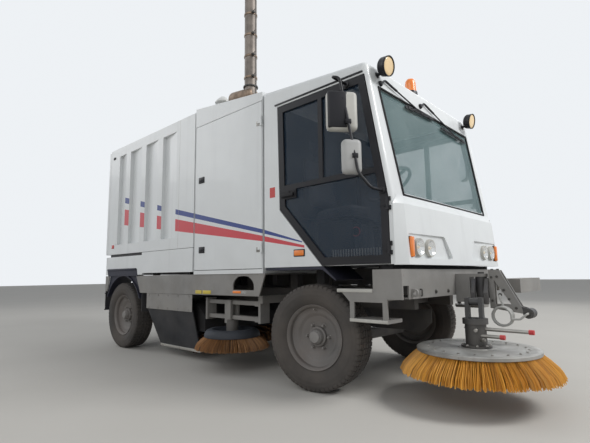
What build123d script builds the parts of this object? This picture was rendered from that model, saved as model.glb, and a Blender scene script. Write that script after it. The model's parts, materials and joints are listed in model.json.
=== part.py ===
"""Street sweeper truck with tipping hopper, side brushes and a front brush on an arm.

+X points forward, +Y to the left and +Z up. The origin is on the ground, under the
middle of the machine's box. All sizes are in millimetres.
"""

import os
from math import cos, radians, sin

from build123d import *

os.makedirs("parts", exist_ok=True)

# Clearances
seat_gap = 0.3
shut_gap = 6.0

# Body
body_width = 2000.0
half_width = body_width / 2

# Wheels and axles
front_axle_x = 1120.0
wheelbase = 3360.0
rear_axle_x = front_axle_x - wheelbase
tyre_radius = 430.0
tyre_width = 250.0
tread_width = 214.0
rim_radius = 262.0
rim_width = 204.0
wheel_y = half_width - 130
rest_steer = 9.2
kingpin_y = wheel_y - 125
kingpin_radius = 20.0
kingpin_boss_radius = 45.0
stub_radius = 40.0
axle_z = tyre_radius

# Chassis
rail_y = 350.0
rail_width = 70.0
rail_top_z = 800.0
rail_height = 160.0
rail_rear_x = -2700.0
beam_front_x = 1996.0
beam_rear_x = 1760.0
beam_low_z = 757.0
beam_top_z = 969.0
beam_wall = 12.0
tow_eye_y = half_width - 140
tow_eye_z = 800.0
tow_eye_bore = 14.0
tow_eye_thickness = 20.0
deck_low_z = 985.0

# Cab
cab_rear_x = 610.0
cab_floor_z = 1005.0
cab_roof_rear_z = 2683.0
cab_roof_front_z = 2592.0
cab_front_x = 1941.0
screen_low_z = 1514.0
screen_lean = 0.1717
cab_wall = 45.0
cab_corner = 45.0
screen_low_half = 822.0
screen_top_half = 872.0
screen_height = 885.0
glass_thickness = 6.0
fascia_front_x = 2022.0
fascia_crown = 14.0
fascia_top_z = 1440.0

# Cab doors
door_thickness = 45.0
door_frame = 62.0
door_bar = 44.0
door_bar_z = 1706.0
door_divider_x = 1293.0

# Middle cabinet
cabinet_rear_x = -533.0
cabinet_front_x = 585.0
cabinet_floor_z = 955.0
cabinet_roof_rear_z = 2835.0
cabinet_roof_front_z = 2700.0
cabinet_wall = 40.0
cabinet_door_top_z = cabinet_roof_front_z - 90
cabinet_door_low_z = cabinet_floor_z + 20
cabinet_door_edge = 12.0

# Hopper
hopper_rear_x = -2740.0
hopper_front_x = -550.0
hopper_floor_z = 1255.0
hopper_roof_z = 2800.0
hopper_side = 80.0
hopper_wall = 45.0
flute_depth = 48.0
flute_low_z = 1388.0
flute_top_z = 2675.0
tailgate_thickness = 50.0
gate_hinge = (-2746.0, 2818.0)
gate_hinge_y = (-0.7 * half_width, 0.7 * half_width)
tip_pin = (-2740.0, 1236.0)
tip_pin_radius = 12.0
tip_lug_y = (half_width - 115, half_width - 75)
tip_lug_radius = 18.0
machine_rear_x = -2810.0

# Lower body
lower_panel_z = 965.0
slot_low_z = 1217.0
panel_thickness = 30.0
skirt_thickness = 12.0
skirt_low_z = 735.0

# Sweeping gear
roller_x = -1050.0
roller_radius = 262.0
roller_length = 1.3 * half_width
roller_lift = 12.0
hood_front_x = -500.0
hood_rear_x = -1600.0
hood_half_width = half_width - 140
hood_low_z = 330.0
bearing_low_z = 215.0
hood_top_z = rail_top_z - rail_height - seat_gap
side_brush_x = -80.0
side_brush_y = half_width - 180
side_disc_radius = 363.0
side_tip_radius = 390.0
side_disc_z = 350.0
side_tip_z = 200.0
link_front_x = 360.0
link_rear_x = -60.0
link_top_z = 665.0
link_low_z = 515.0
carrier_rear_x = -465.0
front_pivot_x = 2190.0
front_pivot_y = -50.0
front_brush_x = 2240.0
front_brush_y = -370.0
front_disc_radius = 430.0
front_tip_radius = 570.0
front_disc_z = 392.0
front_tip_z = 200.0


def write(piece, name):
    """Label a finished piece and write it as parts/name.step."""
    piece.part.label = name
    export_step(piece.part, f"parts/{name}.step")


def side_prism(points, y_low, y_high, mode=Mode.ADD, inset=0.0):
    """Extrude an outline drawn in X and Z from y_low to y_high."""
    with BuildSketch(Plane.XZ.offset(-y_low)) as outline:
        with BuildLine():
            Polyline(*points, close=True)
        make_face()
        if inset:
            offset(amount=-inset, kind=Kind.INTERSECTION, mode=Mode.REPLACE)
    extrude(outline.sketch, amount=y_high - y_low, dir=(0, 1, 0), mode=mode)


def block(x, y, z, mode=Mode.ADD):
    """Make a box between pairs of X, Y and Z limits."""
    centre = ((x[0] + x[1]) / 2, (y[0] + y[1]) / 2, (z[0] + z[1]) / 2)
    with Locations(centre):
        Box(x[1] - x[0], y[1] - y[0], z[1] - z[0], mode=mode)


def rod(start, end, radius, mode=Mode.ADD):
    """Make a round bar from one point to another."""
    run = Vector(*end) - Vector(*start)
    with BuildSketch(Plane(origin=start, z_dir=run)) as section:
        Circle(radius)
    extrude(section.sketch, amount=run.length, dir=run.normalized(), mode=mode)


# Wheels: each plane's z axis points outwards along the axle.
def wheel_plane(side, x, steer):
    """Return the plane of one wheel's middle; side is -1 on the right and 1 on the left."""
    turn = radians(steer)
    from_pin = side * (wheel_y - kingpin_y)
    centre = (x - from_pin * sin(turn), side * kingpin_y + from_pin * cos(turn), axle_z)
    outward = (-side * sin(turn), side * cos(turn), 0)
    return Plane(origin=centre, x_dir=(0, 0, 1), z_dir=outward)


def tyre(plane):
    """Revolve a low-profile tyre with rounded shoulders about a wheel plane's axis."""
    half_tread = tread_width / 2
    half_tyre = tyre_width / 2
    bead = rim_width / 2 - 8
    with BuildPart() as piece:
        section = Plane(origin=plane.origin, x_dir=plane.x_dir, z_dir=-plane.y_dir)
        with BuildSketch(section):
            with BuildLine():
                Polyline((rim_radius - 11, -bead), (rim_radius - 11, bead), (rim_radius + 6, bead))
                ThreePointArc(
                    (rim_radius + 6, bead),
                    ((rim_radius + tyre_radius) / 2 + 4, half_tyre),
                    (tyre_radius - 22, half_tread + 8),
                )
                Line((tyre_radius - 22, half_tread + 8), (tyre_radius - 5, half_tread - 10))
                ThreePointArc(
                    (tyre_radius - 5, half_tread - 10),
                    (tyre_radius, 0),
                    (tyre_radius - 5, 10 - half_tread),
                )
                Line((tyre_radius - 5, 10 - half_tread), (tyre_radius - 22, -half_tread - 8))
                ThreePointArc(
                    (tyre_radius - 22, -half_tread - 8),
                    ((rim_radius + tyre_radius) / 2 + 4, -half_tyre),
                    (rim_radius + 6, -bead),
                )
                Line((rim_radius + 6, -bead), (rim_radius - 11, -bead))
            make_face()
        revolve(axis=Axis(plane.origin, plane.z_dir))
    return piece


def rim(plane):
    """Revolve a dished disc wheel with its hub, drum and six stud holes' nuts."""
    half_rim = rim_width / 2
    barrel = rim_radius - 11 - seat_gap
    disc_face = 12.0
    disc_radius = 172.0
    hub_radius = 75.0
    hub_back = -48.0
    with BuildPart() as piece:
        section = Plane(origin=plane.origin, x_dir=plane.x_dir, z_dir=-plane.y_dir)
        with BuildSketch(section):
            with BuildLine():
                Polyline(
                    (stub_radius + seat_gap, hub_back),
                    (stub_radius + seat_gap, -8),
                    (0, -8),
                    (0, 92),
                    (hub_radius - 14, 92),
                    (hub_radius, 80),
                    (hub_radius + 4, disc_face + 6),
                    (hub_radius + 16, disc_face),
                    (disc_radius, disc_face),
                    (barrel - 24, 46),
                    (barrel - 10, half_rim - 6),
                    (rim_radius, half_rim + 2),
                    (rim_radius, half_rim - 7.7),
                    (barrel, half_rim - 8),
                    (barrel, 8 - half_rim),
                    (rim_radius, 7.7 - half_rim),
                    (rim_radius, -half_rim - 2),
                    (barrel - 10, 6 - half_rim),
                    (barrel - 12, -10),
                    (disc_radius - 2, disc_face - 16),
                    (hub_radius + 22, disc_face - 16),
                    (hub_radius + 22, hub_back),
                    close=True,
                )
            make_face()
        revolve(axis=Axis(plane.origin, plane.z_dir))
        with BuildSketch(plane.offset(disc_face - 1)):
            with PolarLocations(102.5, 6, start_angle=30):
                RegularPolygon(15, 6)
        extrude(amount=22)
    return piece


front_right = wheel_plane(-1, front_axle_x, rest_steer)
front_left = wheel_plane(1, front_axle_x, rest_steer)
rear_right = wheel_plane(-1, rear_axle_x, 0)
rear_left = wheel_plane(1, rear_axle_x, 0)
wheel_planes = {
    "front_right": front_right,
    "front_left": front_left,
    "rear_right": rear_right,
    "rear_left": rear_left,
}
for corner, plane in wheel_planes.items():
    write(tyre(plane), f"tyre_{corner}")
    write(rim(plane), f"rim_{corner}")


# Steering knuckles: a yoke round the axle's boss, a kingpin and a stub for the hub.
def knuckle(side, plane):
    """Build a steering knuckle turned with its wheel."""
    boss_half = 60.0
    plate = 32.0
    pin = (front_axle_x, side * kingpin_y)
    outward = plane.z_dir
    web_start = kingpin_boss_radius + 8
    stub_end = wheel_y - kingpin_y - 14
    turned = Plane(origin=(pin[0], pin[1], axle_z), x_dir=(0, 0, 1), z_dir=outward)
    with BuildPart() as piece:
        for low in (axle_z - boss_half - seat_gap - plate, axle_z + boss_half + seat_gap):
            yoke_plane = Plane(origin=(pin[0], pin[1], low), x_dir=outward, z_dir=(0, 0, 1))
            with BuildSketch(yoke_plane):
                Circle(46)
                with Locations((web_start / 2 + 8, 0)):
                    Rectangle(web_start + 16, 80)
            extrude(amount=plate)
        rod((pin[0], pin[1], axle_z - 90), (pin[0], pin[1], axle_z + 90), kingpin_radius)
        web_height = 2 * (boss_half + seat_gap + plate)
        with BuildSketch(turned.offset(web_start)):
            Rectangle(web_height, 80)
        extrude(amount=16)
        with BuildSketch(turned.offset(web_start)):
            Circle(stub_radius)
        extrude(amount=stub_end - web_start)
    return piece


for name, side, plane in (("right", -1, front_right), ("left", 1, front_left)):
    write(knuckle(side, plane), f"knuckle_{name}")

# Front axle: a dropped beam between two kingpin bosses, under the rails on packs.
with BuildPart() as front_axle:
    for side in (-1, 1):
        boss = (front_axle_x, side * kingpin_y)
        rod((*boss, axle_z - 60), (*boss, axle_z + 60), kingpin_boss_radius)
    with BuildSketch(Plane.YZ.offset(front_axle_x - 42)):
        with BuildLine():
            Polyline(
                (-kingpin_y, axle_z + 45),
                (-560, axle_z + 45),
                (-430, axle_z - 15),
                (430, axle_z - 15),
                (560, axle_z + 45),
                (kingpin_y, axle_z + 45),
                (kingpin_y, axle_z - 45),
                (600, axle_z - 45),
                (470, axle_z - 105),
                (-470, axle_z - 105),
                (-600, axle_z - 45),
                (-kingpin_y, axle_z - 45),
                close=True,
            )
        make_face()
    extrude(amount=84)
    for side in (-1, 1):
        block(
            (front_axle_x - 60, front_axle_x + 60),
            (side * rail_y - 35, side * rail_y + 35),
            (axle_z - 20, rail_top_z - rail_height - seat_gap),
        )
        boss = (front_axle_x, side * kingpin_y)
        rod(
            (*boss, axle_z - 61),
            (*boss, axle_z + 61),
            kingpin_radius + seat_gap,
            mode=Mode.SUBTRACT,
        )
write(front_axle, "front_axle")

# Rear axle: a tube with a round differential and two stubs.
with BuildPart() as rear_axle:
    rod((rear_axle_x, -735, axle_z), (rear_axle_x, 735, axle_z), 62)
    rod((rear_axle_x, -(wheel_y - 14), axle_z), (rear_axle_x, wheel_y - 14, axle_z), stub_radius)
    with BuildSketch(Plane.XZ.offset(-110)):
        with Locations((rear_axle_x, axle_z)):
            Circle(165)
    extrude(amount=220)
    for side in (-1, 1):
        block(
            (rear_axle_x - 60, rear_axle_x + 60),
            (side * rail_y - 35, side * rail_y + 35),
            (axle_z, rail_top_z - rail_height - seat_gap),
        )
write(rear_axle, "rear_axle")

# Chassis: two rails, cross-members, posts and the frame that carries the body.
with BuildPart() as chassis_frame:
    rail_low_z = rail_top_z - rail_height
    rail_front_x = beam_rear_x - seat_gap
    nose_front_x = beam_front_x - beam_wall - seat_gap
    for side in (-1, 1):
        y_edges = sorted((side * (rail_y - rail_width / 2), side * (rail_y + rail_width / 2)))
        block((rail_rear_x, rail_front_x), y_edges, (rail_low_z, rail_top_z))
        nose_z = (beam_low_z + beam_wall + seat_gap, beam_top_z - beam_wall - 40)
        block((rail_front_x - 200, nose_front_x), y_edges, nose_z)
    for x in (rail_rear_x + 40, -1750, -440, 500, 1500):
        block((x - 40, x + 40), (-rail_y, rail_y), (rail_low_z + 20, rail_top_z - 20))
write(chassis_frame, "chassis_frame")

# Body sub-frame: posts on the rails, two side members and three cross-members
hopper_post_x = (-2500, -1500, -700)
side_member_x = (hopper_rear_x + 40, hopper_front_x - 30)
side_member_width = 90.0


def post(x, side, top_z):
    """Add a square post on a rail."""
    post_y = (side * rail_y - 35, side * rail_y + 35)
    block((x - 50, x + 50), post_y, (rail_top_z + seat_gap, top_z))


with BuildPart() as body_subframe:
    for x in hopper_post_x:
        for side in (-1, 1):
            post(x, side, hopper_floor_z - seat_gap)
    for side in (-1, 1):
        outer = half_width - panel_thickness - seat_gap
        y_edges = sorted((side * (outer - side_member_width), side * outer))
        block(side_member_x, y_edges, (deck_low_z, hopper_floor_z - seat_gap))
    cross_y = outer - side_member_width / 2
    cross_z = (deck_low_z + 120, hopper_floor_z - seat_gap - 20)
    for x in hopper_post_x:
        block((x - 50, x + 50), (-cross_y, cross_y), cross_z)
    for side in (-1, 1):
        lug_y = sorted((side * tip_lug_y[0], side * tip_lug_y[1]))
        rod((tip_pin[0], lug_y[0], tip_pin[1]), (tip_pin[0], lug_y[1], tip_pin[1]), tip_lug_radius)
        lug_z = (tip_pin[1] - tip_lug_radius, tip_pin[1] + tip_lug_radius)
        block((tip_pin[0], side_member_x[0] + 10), lug_y, lug_z)
        bore_y = (lug_y[0] - 1, lug_y[1] + 1)
        bore_start = (tip_pin[0], bore_y[0], tip_pin[1])
        bore_end = (tip_pin[0], bore_y[1], tip_pin[1])
        rod(bore_start, bore_end, tip_pin_radius + seat_gap, Mode.SUBTRACT)
write(body_subframe, "body_subframe")

with BuildPart() as body_mounts:
    for side in (-1, 1):
        for x in (-300, 400):
            post(x, side, cabinet_floor_z - seat_gap)
        for x in (760, 1480):
            post(x, side, cab_floor_z - seat_gap)
write(body_mounts, "body_mounts")

# Front beam: a folded channel with closed ends, and the bracket of the front arm's pivot.
bracket_front_x = 2115.0
lug_radius = 52.0
lug_low_z = 700.0
lug_top_z = 930.0
lug_thickness = 25.0
pivot_radius = 25.0
with BuildPart() as front_beam:
    channel = [
        (beam_rear_x, beam_low_z),
        (beam_front_x, beam_low_z),
        (beam_front_x, beam_top_z),
        (beam_rear_x, beam_top_z),
        (beam_rear_x, beam_top_z - beam_wall),
        (beam_front_x - beam_wall, beam_top_z - beam_wall),
        (beam_front_x - beam_wall, beam_low_z + beam_wall),
        (beam_rear_x, beam_low_z + beam_wall),
    ]
    side_prism(channel, -half_width, half_width)
    for side in (-1, 1):
        end = sorted((side * half_width, side * (half_width - beam_wall)))
        block((beam_rear_x, beam_front_x), end, (beam_low_z, beam_top_z))
        notch_y = sorted((side * (half_width - 15), side * (half_width - 95)))
        notch_z = (beam_low_z - 5, beam_low_z + 95)
        block((beam_front_x - 60, beam_front_x + 5), notch_y, notch_z, Mode.SUBTRACT)
    for side in (-1, 1):
        with BuildSketch(Plane.XZ.offset(-side * tow_eye_y - tow_eye_thickness / 2)):
            with Locations((beam_front_x + 11, tow_eye_z)):
                Rectangle(24, 56)
            with Locations((beam_front_x + 22, tow_eye_z)):
                Circle(28)
                Circle(tow_eye_bore, mode=Mode.SUBTRACT)
        extrude(amount=tow_eye_thickness)
    bracket_y = (front_pivot_y - lug_radius, front_pivot_y + lug_radius)
    block((beam_front_x - 1, bracket_front_x), bracket_y, (lug_low_z, lug_top_z))
    for low, high in ((lug_low_z, lug_low_z + lug_thickness), (lug_top_z - lug_thickness, lug_top_z)):
        with BuildSketch(Plane.XY.offset(low)):
            with Locations(((bracket_front_x + front_pivot_x) / 2, front_pivot_y)):
                Rectangle(front_pivot_x - bracket_front_x + 2, 2 * lug_radius)
            with Locations((front_pivot_x, front_pivot_y)):
                Circle(lug_radius)
                Circle(pivot_radius + seat_gap, mode=Mode.SUBTRACT)
        extrude(amount=high - low)
write(front_beam, "front_beam")

# Front locker: a box held ahead of the beam by two arms, left of the front arm
locker_x = (2230.0, 2385.0)
locker_y = (300.0, 930.0)
locker_z = (765.0, 885.0)
with BuildPart() as front_locker:
    block(locker_x, locker_y, locker_z)
    fillet(front_locker.edges().filter_by(Axis.X), radius=8)
    for y in (locker_y[0] + 50, locker_y[1] - 150):
        block((beam_front_x + seat_gap, locker_x[0] + 1), (y - 20, y + 20), (810, 850))
write(front_locker, "front_locker")

# Steps: an upper and a lower tread each side, hung from the beam by two legs.
with BuildPart() as steps:
    # Columns: rear x, front x, depth of the tyre's corner cut, low z, high z
    treads = (
        (1434, beam_rear_x - seat_gap, 52, beam_low_z + 43, beam_low_z + 71),
        (1549, 1875, 62, beam_low_z - 172, beam_low_z - 146),
    )
    leg_z = (beam_low_z - 157, beam_low_z - 12)
    plate_low_z = beam_low_z - 25
    plate_top_z = beam_low_z - seat_gap
    for rear, front, cut_x, low, high in treads:
        with BuildSketch(Plane.XY.offset(low)):
            with BuildLine():
                Polyline(
                    (rear, -half_width),
                    (front, -half_width),
                    (front, -half_width + 200),
                    (rear + cut_x, -half_width + 200),
                    (rear + cut_x, -half_width + 165),
                    (rear, -half_width + 70),
                    close=True,
                )
            make_face()
        extrude(amount=high - low)
    for x in (1551, 1835):
        block((x, x + 38), (-half_width, -half_width + 14), leg_z)
    side_prism(
        [
            (1480, beam_low_z + 44),
            (1551, plate_low_z),
            (1873, plate_low_z),
            (1873, plate_top_z),
            (beam_rear_x - seat_gap, plate_top_z),
            (beam_rear_x - seat_gap, beam_low_z + 44),
        ],
        -half_width,
        -half_width + 14,
    )
    block((1551, 1873), (-half_width, -half_width + 180), (leg_z[1], plate_top_z))
    mirror(about=Plane.XZ)
write(steps, "steps")

# Engine: one plain block on the rails, inside the middle cabinet.
with BuildPart() as engine:
    block((-430, 480), (-380, 380), (cabinet_floor_z + cabinet_wall + seat_gap, 1750))
write(engine, "engine")


def screen_x(z):
    """Return the X of the cab's sloping front at a height."""
    return cab_front_x - screen_lean * (z - screen_low_z)


# Cab doors
door_low_front = (1912.0, cab_floor_z + 6)
door_outline = [
    (791.0, 2478.0),
    (814.0, 1516.0),
    (1288.0, door_low_front[1]),
    door_low_front,
    (1910.0, 1490.0),
    (screen_x(2478) - 34, 2478.0),
]
hinge_radius = 12.0
door_hinge = (1914.0, half_width + hinge_radius + seat_gap)

door_hinge_z = (1120.0, 1440.0)


def hinge_part(side, pin, leaf_x, z):
    """Add a hinge barrel at a pin's X and Y, and a leaf from it along the body side."""
    pin_y = side * pin[1]
    rod((pin[0], pin_y, z[0]), (pin[0], pin_y, z[1]), hinge_radius)
    leaf_y = sorted((pin_y, side * (half_width - 1)))
    block(sorted((pin[0], leaf_x)), leaf_y, z)


# Cab shell: the side outline carried across, hollow, with door and screen openings.
screen_up = Vector(-screen_lean, 0, 1).normalized()
screen_out = Vector(1, 0, screen_lean).normalized()
screen_plane = Plane(
    origin=(cab_front_x, 0, screen_low_z), x_dir=(0, 1, 0), z_dir=screen_out
)
screen_corners = [
    (-screen_low_half, 22),
    (screen_low_half, 22),
    (screen_top_half, 22 + screen_height),
    (-screen_top_half, 22 + screen_height),
]
with BuildPart() as cab_shell:
    cab_outline = [
        (cab_rear_x, cab_floor_z),
        (cab_rear_x, cab_roof_rear_z),
        (screen_x(cab_roof_front_z), cab_roof_front_z),
        (cab_front_x, screen_low_z),
        (cab_front_x, cab_floor_z),
    ]
    side_prism(cab_outline, -half_width, half_width)
    upright = cab_shell.edges().filter_by(
        lambda e: abs(e.tangent_at(0.5).Y) < 0.01
        and e.center().X > cab_rear_x + 20
        and e.center().Z > screen_low_z
    )
    brow = cab_shell.edges().filter_by(Axis.Y).group_by(Axis.Z)[-2]
    fillet(upright + brow, radius=cab_corner)
    side_prism(
        cab_outline,
        -half_width + cab_wall,
        half_width - cab_wall,
        mode=Mode.SUBTRACT,
        inset=cab_wall,
    )
    for side in (-1, 1):
        low, high = sorted((side * (half_width - cab_wall - 2), side * (half_width + 2)))
        side_prism(door_outline, low, high, mode=Mode.SUBTRACT, inset=-shut_gap)
    with BuildSketch(screen_plane):
        with BuildLine():
            Polyline(*screen_corners, close=True)
        make_face()
        fillet(vertices(), radius=45)
    extrude(amount=70, both=True, mode=Mode.SUBTRACT)
    for side in (-1, 1):
        for z in door_hinge_z:
            for low in (z - 48, z + 16 + seat_gap):
                hinge_part(side, door_hinge, door_hinge[0] + 22, (low, low + 32 - seat_gap))
write(cab_shell, "cab_shell")

with BuildPart() as windscreen:
    with BuildSketch(screen_plane.offset(-6)):
        with BuildLine():
            Polyline(*screen_corners, close=True)
        make_face()
        fillet(vertices(), radius=45)
        offset(amount=-seat_gap, mode=Mode.REPLACE)
    extrude(amount=-glass_thickness)
write(windscreen, "windscreen")

# Front fascia: a bowed panel lofted through three plan sections, with lamp recesses.
# Columns: height, side half-width, side depth, front corner x, front corner y, crown x
fascia_sections = (
    (1000.0, half_width, 11.0, fascia_front_x, 925.0, fascia_front_x + fascia_crown),
    (fascia_top_z, half_width, 8.0, fascia_front_x - 34, 905.0, fascia_front_x - 20),
    (1512.0, 930.0, 3.0, fascia_front_x - 76, 860.0, fascia_front_x - 70),
)
lamp_z = 1128.0
fascia_back = cab_front_x + seat_gap
recess_x = fascia_front_x - 22
lamp_depth = 31.0
with BuildPart() as front_fascia:
    for height, side_y, depth, corner_x, corner_y, crown_x in fascia_sections:
        with BuildSketch(Plane.XY.offset(height)):
            with BuildLine():
                Polyline(
                    (corner_x, corner_y),
                    (fascia_back + depth, side_y),
                    (fascia_back, side_y),
                    (fascia_back, -side_y),
                    (fascia_back + depth, -side_y),
                    (corner_x, -corner_y),
                )
                ThreePointArc((corner_x, -corner_y), (crown_x, 0), (corner_x, corner_y))
            make_face()
    loft(ruled=True)
    with BuildSketch(Plane.YZ.offset(recess_x)) as recess:
        for side in (-1, 1):
            with BuildLine():
                Polyline(
                    (side * 900, lamp_z - 80),
                    (side * 900, lamp_z + 96),
                    (side * 320, lamp_z + 100),
                    (side * 190, lamp_z - 80),
                    close=True,
                )
            make_face()
        fillet(recess.vertices(), radius=22)
    extrude(amount=100, mode=Mode.SUBTRACT)
write(front_fascia, "front_fascia")

# Lamps: twin headlamps and an indicator each side in front, and two clusters at the back.
with BuildPart() as vehicle_lamps:
    with BuildSketch(Plane.YZ.offset(recess_x + seat_gap)):
        for side in (-1, 1):
            with Locations((side * 575, lamp_z), (side * 755, lamp_z)):
                Circle(68)
    extrude(amount=lamp_depth)
    with BuildSketch(Plane.YZ.offset(recess_x + seat_gap)):
        for side in (-1, 1):
            with Locations((side * 874, lamp_z)):
                RectangleRounded(46, 152, 10)
    extrude(amount=lamp_depth)
    for side in (-1, 1):
        edges = sorted((side * 640, side * 940))
        block((machine_rear_x, machine_rear_x + 40 - seat_gap), edges, (1040, 1150))
write(vehicle_lamps, "vehicle_lamps")

# Work lamps: two round lamps on brackets at the front corners of the roof.
with BuildPart() as work_lamps:
    lamp_y = half_width - 150
    lamp_x = 1850.0
    lamp_height = cab_roof_front_z - 30
    foot_up = cab_roof_front_z - 1582
    aim = Vector(cos(radians(12)), 0, -sin(radians(12)))
    with BuildSketch(Plane(origin=(lamp_x - 45, -lamp_y, lamp_height + 3), z_dir=aim)):
        Circle(58)
    with BuildSketch(Plane(origin=(lamp_x + 35, -lamp_y, lamp_height - 14), z_dir=aim)):
        Circle(80)
    loft()
    with BuildSketch(screen_plane.offset(seat_gap)):
        with Locations((-lamp_y, foot_up)):
            Circle(16)
    extrude(amount=64)
    mirror(about=Plane.XZ)
write(work_lamps, "work_lamps")

# Beacon on the roof
beacon_x = 1685.0
beacon_y = -125.0
beacon_height = 165.0


def roof_z(x):
    """Return the cab roof's height at an X."""
    fall = (cab_roof_rear_z - cab_roof_front_z) / (screen_x(cab_roof_front_z) - cab_rear_x)
    return cab_roof_rear_z - fall * (x - cab_rear_x)


with BuildPart() as beacon:
    base_z = roof_z(beacon_x + 70)
    with BuildSketch(Plane.XZ.offset(-beacon_y)):
        with BuildLine():
            Polyline(
                (beacon_x, base_z),
                (beacon_x + 62, base_z),
                (beacon_x + 62, base_z + 26),
                (beacon_x + 54, base_z + 34),
                (beacon_x + 50, base_z + beacon_height - 38),
                (beacon_x + 38, base_z + beacon_height - 12),
                (beacon_x, base_z + beacon_height),
                close=True,
            )
        make_face()
    revolve(axis=Axis((beacon_x, beacon_y, 0), (0, 0, 1)))
    roof_cut = [
        (beacon_x - 80, roof_z(beacon_x - 80) + seat_gap),
        (beacon_x + 80, roof_z(beacon_x + 80) + seat_gap),
        (beacon_x + 80, base_z - 30),
        (beacon_x - 80, base_z - 30),
    ]
    side_prism(roof_cut, beacon_y - 80, beacon_y + 80, mode=Mode.SUBTRACT)
write(beacon, "beacon")

# Wipers: two arms parked along the top of the screen
with BuildPart() as wipers:
    wiper_plane = screen_plane.offset(seat_gap)
    # Columns: pivot, elbow, arm end, blade start and blade end, each as y and height up the screen
    arms = (
        ((-830, 940), (-765, 985), (-195, 862), (-480, 846), (80, 878)),
        ((-150, 950), (-80, 995), (500, 818), (215, 828), (800, 806)),
    )
    for pivot, elbow, arm_tip, blade_start, blade_end in arms:
        with BuildSketch(wiper_plane):
            with Locations(pivot):
                Circle(24)
            with BuildLine():
                Polyline(pivot, elbow, arm_tip)
            trace(line_width=16)
        extrude(amount=24)
        with BuildSketch(wiper_plane):
            with BuildLine():
                Line(blade_start, blade_end)
            trace(line_width=20)
        extrude(amount=18)
write(wipers, "wipers")

# Dashboard with the steering wheel on the right
with BuildPart() as dashboard:
    inner_front = cab_front_x - cab_wall - seat_gap
    inner_floor = cab_floor_z + cab_wall + seat_gap
    dash = [
        (inner_front, inner_floor),
        (inner_front, 1490),
        (inner_front - 60, 1520),
        (1640, 1470),
        (1600, 1400),
        (1700, 1330),
        (1740, inner_floor),
    ]
    side_prism(dash, -800, 800)
    wheel_axis = Vector(-cos(radians(58)), 0, sin(radians(58)))
    hub = Vector(1600, -450, 1700)
    rod(hub - wheel_axis * 330, hub, 28)
    with BuildSketch(Plane(origin=hub, x_dir=(0, 1, 0), z_dir=wheel_axis)):
        Circle(60)
        Rectangle(420, 34)
        with Locations((0, -100)):
            Rectangle(34, 200)
    extrude(amount=16)
    rim_plane = Plane(origin=hub + wheel_axis * 8, x_dir=wheel_axis, z_dir=(0, 1, 0))
    with BuildSketch(rim_plane):
        with Locations((0, 212)):
            Circle(15)
    revolve(axis=Axis(hub, wheel_axis))
write(dashboard, "dashboard")

# Seats: pedestal, cushion and back each side of the cab
with BuildPart() as seats:
    seat_y = 450.0
    seat_half = 235.0
    block((930, 1330), (-seat_y - 170, -seat_y + 170), (inner_floor, 1450))
    side_prism(
        [(880, 1420), (1390, 1440), (1400, 1520), (1340, 1560), (900, 1530)],
        -seat_y - seat_half,
        -seat_y + seat_half,
    )
    side_prism(
        [(860, 1500), (960, 1530), (870, 2080), (840, 2120), (770, 2110), (760, 2050)],
        -seat_y - seat_half,
        -seat_y + seat_half,
    )
    side_prism(
        [(782, 2100), (842, 2112), (818, 2300), (758, 2290)],
        -seat_y - 130,
        -seat_y + 130,
    )
    mirror(about=Plane.XZ)
write(seats, "seats")

# Cab door: a glazed frame with a middle bar, an upper divider, hinge ears and a handle
bar_low = door_bar_z - door_bar / 2
bar_high = door_bar_z + door_bar / 2
divider = (door_divider_x - door_bar / 2, door_divider_x + door_bar / 2)
door_faces = (-half_width, -half_width + door_thickness)
lock_x = (820.0, 1010.0)
lock_low_z = 1604.0
with BuildPart() as door_right:
    side_prism(door_outline, *door_faces)
    side_prism(door_outline, -half_width - 1, 0, mode=Mode.SUBTRACT, inset=door_frame)
    block((850, 1840), door_faces, (bar_low, bar_high))
    block(divider, door_faces, (bar_high - 2, 2440))
    block(lock_x, (-half_width, -half_width + 24), (lock_low_z, bar_low + 2))
    block((850, 990), (-half_width - 20, -half_width + 2), (1622, 1652))
    for z in door_hinge_z:
        hinge_part(-1, door_hinge, door_hinge[0] - 40, (z - 16, z + 16))
write(door_right, "door_right")
with BuildPart() as door_left:
    mirror(door_right.part, about=Plane.XZ)
write(door_left, "door_left")

with BuildPart() as door_glass_right:
    glass_faces = (-half_width + 16, -half_width + 16 + glass_thickness)
    side_prism(door_outline, *glass_faces, inset=door_frame + seat_gap)
    reach = (700, 2000)
    cut = (glass_faces[0] - 1, glass_faces[1] + 1)
    block(reach, cut, (bar_low - seat_gap, bar_high + seat_gap), Mode.SUBTRACT)
    gap_divider = (divider[0] - seat_gap, divider[1] + seat_gap)
    block(gap_divider, cut, (bar_high, 2500), Mode.SUBTRACT)
    lock_reach = (lock_x[0] - 20, lock_x[1] + seat_gap)
    block(lock_reach, cut, (lock_low_z - seat_gap, bar_low), Mode.SUBTRACT)
write(door_glass_right, "door_glass_right")
with BuildPart() as door_glass_left:
    mirror(door_glass_right.part, about=Plane.XZ)
write(door_glass_left, "door_glass_left")

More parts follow.
